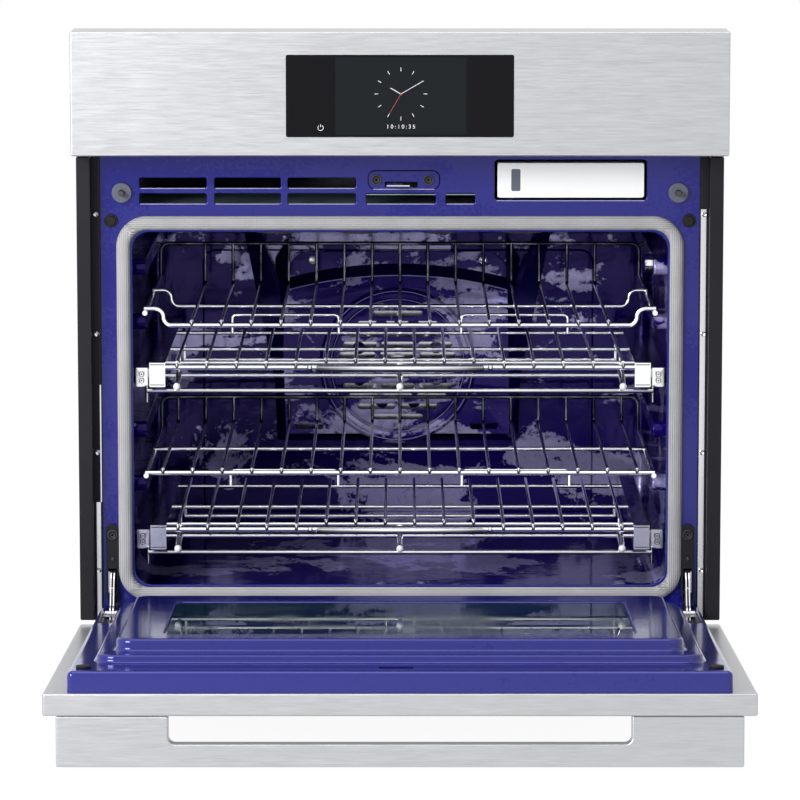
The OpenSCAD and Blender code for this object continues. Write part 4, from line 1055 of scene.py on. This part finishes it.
HANDLE_HW, GRIP_HW = FRONT_HW - 14, 245
handle = block((-HANDLE_HW, HANDLE_HW), (FACE_Y - 54.8, FACE_Y), (582, 601.8), edge=0)
finger_gap = block((-GRIP_HW, GRIP_HW), (FACE_Y - 30, FACE_Y + 20), (560, 620), 7, 2, 0)
grip = cut_clean(handle, [finger_gap])
round_edges(grip, sharp_edges(grip, 40), 2.2, 4)
finished("door_grip", opened(grip), stainless, "door", ["door_handle"])

# ---------- small fittings ----------

# CAD node, piece, radius of its softened edges, angle past which an edge is softened, body
for name, piece_name, edge, angle, body in (
        ("side_trims", "side_trim_strips", 0.8, 40, "chassis"),
        ("hinge_covers", "hinge_cover_plates", 0.6, 40, "chassis"),
        ("latch_hook", "latch_hook_plate", 0.25, 40, "latch"),
        ("switch_housings", "door_switch_bodies", 0.8, 40, "chassis"),
        ("frame_bumpers", "frame_bumper_pads", 0.7, 40, "chassis"),
        ("door_bumpers", "door_bumper_pads", 0.8, 40, "door"),
        ("tank_front", "tank_front_panel", 0.9, 40, "tank"),
        ("probe_jack", "probe_socket", 0.8, 40, "chassis"),
        ("glide_bases", "glide_base_members", 0.4, 45, "chassis"),
        ("hinge_channels", "hinge_channel_frames", 0.4, 45, "door"),
        ("plunger_left", "switch_plunger_left", 0.6, 45, "plunger_left_body"),
        ("plunger_right", "switch_plunger_right", 0.6, 45, "plunger_right_body")):
    finished(piece_name, refined(name, edge, angle, 3), FINISHES[SLOT_OF[name]], body, [name])

ARM_SPACERS = ((-2, 128), (-12, 92), (-3, 108))
arms = []
for side in SIDES:
    for shift in (-1.75, 1.75):
        plate = refined("hinge_arms", 0, 40)
        bmesh.ops.delete(plate, geom=[v for v in plate.verts if v.co.x * side < 0], context="VERTS")
        moved(plate, (-side * HINGE_X, 0, 0))
        scaled(plate, (0.3, 1, 1))
        moved(plate, (side * HINGE_X + shift, 0, 0))
        arms.append(plate)
finished("hinge_arm_plates", joined(arms), zinc_steel, "chassis", ["hinge_arms"])
spacers = [disc((side * HINGE_X, y, z), 3, (-1.2, 1.2), "X", 0, 20) for side in SIDES for y, z in ARM_SPACERS]
finished("hinge_arm_spacers", joined(spacers), dark_steel, "chassis")

LATCH_WINDOW = ((-17.5, 20.5), (-3, 2), (566.9, 573))
latch_cover = cut_clean(block((-36.5, 45.5), (-1.5, 0), (565.1, 585.5), 7.6, 1, 0), [box_at(*LATCH_WINDOW)])
round_edges(latch_cover, sharp_edges(latch_cover, 40), 0.9, 4)
finished("latch_cover_plate", latch_cover, enamel, "chassis", ["latch_plate"])
# painted shade: a black rim behind the latch cover stands in for the shadow gap around it
latch_shadow_rim = cut_clean(block((-37.6, 46.6), (-0.3, 0.1), (564, 586.6), 8.6, 1, 0), [box_at(*LATCH_WINDOW)])
finished("latch_cover_painted_shadow", latch_shadow_rim, painted_shade_black, "chassis")

side_panels = mirrored(block((CHASSIS_HW - SHEET, CHASSIS_HW), (0, 600), (SHEET, 711 - SHEET), edge=0.3))
finished("side_panels", side_panels, galvanised, "chassis", ["chassis_sides"])
# painted shade: the flanges beside the frame, galvanised in the part, are coloured black for the shaded gap there
side_flanges_painted_shade = mirrored(block((FRAME_HW + 0.3, CHASSIS_HW + 20.5), (-SHEET, 0), (FRAME_Z[0], 603), edge=0.3))
finished("side_flanges_painted_shade", side_flanges_painted_shade, black_paint, "chassis", ["chassis_sides"])
# painted reflection: bright zinc strips, laid out differently on each side, stand in for the reflection line along the
# flange edges
reflection_strips = [block((-356.2, -351), (-SHEET - 0.5, -SHEET), (58, 196), edge=0.2),
          block((-351.2, -349.6), (-SHEET - 0.4, -SHEET), (196, 335), edge=0.1),
          block((350, 356.5), (-SHEET - 0.5, -SHEET), (58, 541), edge=0.2)]
finished("side_reflection_strips", joined(reflection_strips), zinc_steel, "chassis")

# across, up, radius, front of the head
PLATE_SCREWS = [(-27.4, 575.3, 6.2, -3.5), (32.9, 575.3, 6.2, -3.5), (-HINGE_X, 157.4, 6, -5), (HINGE_X, 157.4, 6, -5)]
FLANGE_SCREWS = [(side * 353.9, 115 + 140 * i, 3, -SHEET - 2) for side in SIDES for i in range(4)]
COVER_SCREWS = [(x, 429.4, 5, CAVITY_BACK - 7.2) for x in (-111, 105)]
GLIDE_LEVELS = {"glide_upper": 348.9, "glide_lower": 156}
BRACKET_Y = 31.5


def dished_screw(x, z, r, front, depth=2):
    """A screw head with a round rim, a dished face and a cross slot."""
    head = turned([(r * 0.99, front + depth), (r, front + 0.6), (r * 0.93, front + 0.12), (r * 0.84, front),
                   (r * 0.74, front + 0.25), (r * 0.5, front + 0.75), (r * 0.25, front + 0.85), (0.01, front + 0.85)],
                  (x, z), 28)
    long, short, sunk = r * 0.42, 0.35, (front + 0.5, front + 0.9)
    return joined([head, box_at((x - long, x + long), sunk, (z - short, z + short)),
                   box_at((x - short, x + short), sunk, (z - long, z + long))])


finished("plate_screws", joined([dished_screw(*screw) for screw in PLATE_SCREWS]), dark_steel,
         "chassis", ["frame_screws"])
# painted shade: black discs and rings in the screw heads and bracket holes stand in for the shade in their recesses
recess_shade = []
for x, z, r, front_y in PLATE_SCREWS:
    recess_shade += [disc((x, 0, z), r * 0.24, (front_y + 0.3, front_y + 1.2), edge=0, sides=16),
                 turned([(r * 0.56, front_y + 0.1), (r * 0.7, front_y), (r * 0.7, front_y + 1),
                         (r * 0.56, front_y + 1), (r * 0.56, front_y + 0.1)], (x, z), 24)]
for level in GLIDE_LEVELS.values():
    for x, z in [(side * 304, level - drop) for side in SIDES for drop in (6, 13.5)]:
        recess_shade += [turned([(2.5, BRACKET_Y + 1.1), (2.6, BRACKET_Y), (3.2, BRACKET_Y), (3.2, BRACKET_Y + 1.1),
                             (2.5, BRACKET_Y + 1.1)], (x, z), 20),
                     disc((x, 0, z), 1, (BRACKET_Y, BRACKET_Y + 0.5), edge=0, sides=12)]
finished("screw_recess_painted_shade", joined(recess_shade), painted_shade_black, "chassis")
# painted shade: thin black lines stand in for the shade in the bracket creases
for body, level in GLIDE_LEVELS.items():
    crease_shade = [block((-292.6, -276), (7.9, 8.4), (z - 0.45, z + 0.45), 0, 1, 0.1) for z in (level + 8.4, level - 15.4)]
    finished(f"bracket_crease_painted_shade_{body}", mirrored(joined(crease_shade)), painted_shade_black, body)
finished("flange_screws", joined([dished_screw(*screw) for screw in FLANGE_SCREWS + COVER_SCREWS]), zinc_steel,
         "chassis", ["frame_screws"])

tank_window = block((129.3, 139.9), (-3.42, 0), (562.5, 588.1), 1.5, 1, 0.3)
finished("tank_level_window", tank_window, grey_plastic, "tank")

for name, body, rail, count in (("rack_upper", "rack_upper_body", 402, 7), ("rack_lower", "rack_lower_body", 226.6, 8)):
    places = [(i * PITCH, 22.9, rail + 2.6) for i in range(-count, count + 1)]
    finished(name + "_weld_ends", beads(places, 1, (2.4, 2.4, 3.7)), chrome, body)
for name, body in (("glide_rack_upper", "glide_upper"), ("glide_rack_lower", "glide_lower")):
    level = GLIDE_LEVELS[body]
    outer = [side * (i + 0.5) * PITCH for side in SIDES for i in range(3, 8)]
    inner = [side * (i + 0.5) * PITCH for side in SIDES for i in range(3)]
    places = [(x, 17.6, level + 6.2) for x in outer] + [(x, 45.6, level + 7.8) for x in outer + inner]
    finished(name + "_weld_ends", beads(places, 1, (2.4, 2.4, 3.4)), chrome, body)
    feet = beads([(x, 14, level - 18.3) for x in (-7.5 * PITCH, 0, 7.5 * PITCH)], 4.4)
    finished(name + "_feet", feet, white_plastic, body)
    rod = [disc((0, 20, level + 3.4), 4, (side * 106 - 3, side * 106 + 3), "X", 0.8, 20) for side in SIDES]
    rod += [disc((0, 19.2, level + 2.4), 3.9, (-99, 99), "X", 1.6, 20)]
    finished(name + "_centre_rod", joined(rod), chrome, body)

# ---------- light, floor and camera ----------

DIRECT_WORLD, WORLD_FILL = 1, 0.3
FLOOR_GLOW, GLOW_SHARE = 1.14, 0.82


def lamp(name, at, aim, size, watts):
    data = bpy.data.lights.new(name, "AREA")
    data.shape, data.size, data.size_y, data.energy = "RECTANGLE", size[0], size[1], watts
    thing = placed(name, data)
    thing.location = at
    thing.rotation_euler = (Vector(aim) - Vector(at)).to_track_quat("-Z", "Y").to_euler()


lamp("key", (-1.9, -2.4, 1.5), (-0.2, 0, 0.4), (1.4, 1.4), 112)
lamp("fill", (2.8, -3.2, 1.6), (0, 0, 0.35), (1.8, 1.8), 8)
lamp("top", (0, -0.6, 3.2), (0, -0.2, 0.2), (2.6, 1.6), 26)


def seen_directly(tree):
    """One for rays that come from the camera, a reflection or a clear piece."""
    path = shader_node(tree, "ShaderNodeLightPath").outputs
    return greater(greater(path["Is Camera Ray"], path["Is Glossy Ray"]), path["Is Transmission Ray"])


def shared(tree, share, plain, direct, output):
    """Two shaders: the direct one takes its share of what is seen."""
    choice = shader_node(tree, "ShaderNodeMixShader", {0: share, 1: plain.outputs[0], 2: direct.outputs[0]})
    tree.links.new(choice.outputs[0], tree.nodes[output].inputs["Surface"])


world = bpy.data.worlds.new("studio")
bpy.context.scene.world = world
world.use_nodes = True
sky = world.node_tree
sky.nodes["Background"].inputs["Color"].default_value = WHITE
sky.nodes["Background"].inputs["Strength"].default_value = DIRECT_WORLD
fill = shader_node(sky, "ShaderNodeBackground", {"Color": WHITE, "Strength": WORLD_FILL})
shared(sky, seen_directly(sky), fill, sky.nodes["Background"], "World Output")

floor_paint = bpy.data.materials.new("pale floor")
floor_paint.use_nodes = True
tree = floor_paint.node_tree
matt = tree.nodes["Principled BSDF"]
matt.inputs["Base Color"].default_value = (0.86, 0.86, 0.86, 1)
matt.inputs["Roughness"].default_value = 0.9
glow = shader_node(tree, "ShaderNodeEmission", {"Color": WHITE, "Strength": FLOOR_GLOW})
shared(tree, times(seen_directly(tree), GLOW_SHARE), matt, glow, "Material Output")

floor_bm = box_at((-4000, 4000), (-4500, 5000), (-21, -1))
scaled(floor_bm, (MM,) * 3)
floor_mesh = bpy.data.meshes.new("floor")
floor_bm.to_mesh(floor_mesh)
floor_bm.free()
floor_mesh.materials.append(floor_paint)
placed("floor", floor_mesh)

camera_data = bpy.data.cameras.new("camera")
camera_data.sensor_width = 36
camera_data.lens = 203.97
camera_data.clip_end = 50
camera = placed("camera", camera_data)
camera.location = (0, -5.2514, 1.0601)
camera.rotation_euler = (math.radians(90 - 8.056), 0, 0)
bpy.context.scene.camera = camera
bpy.context.scene.view_settings.view_transform = "Standard"
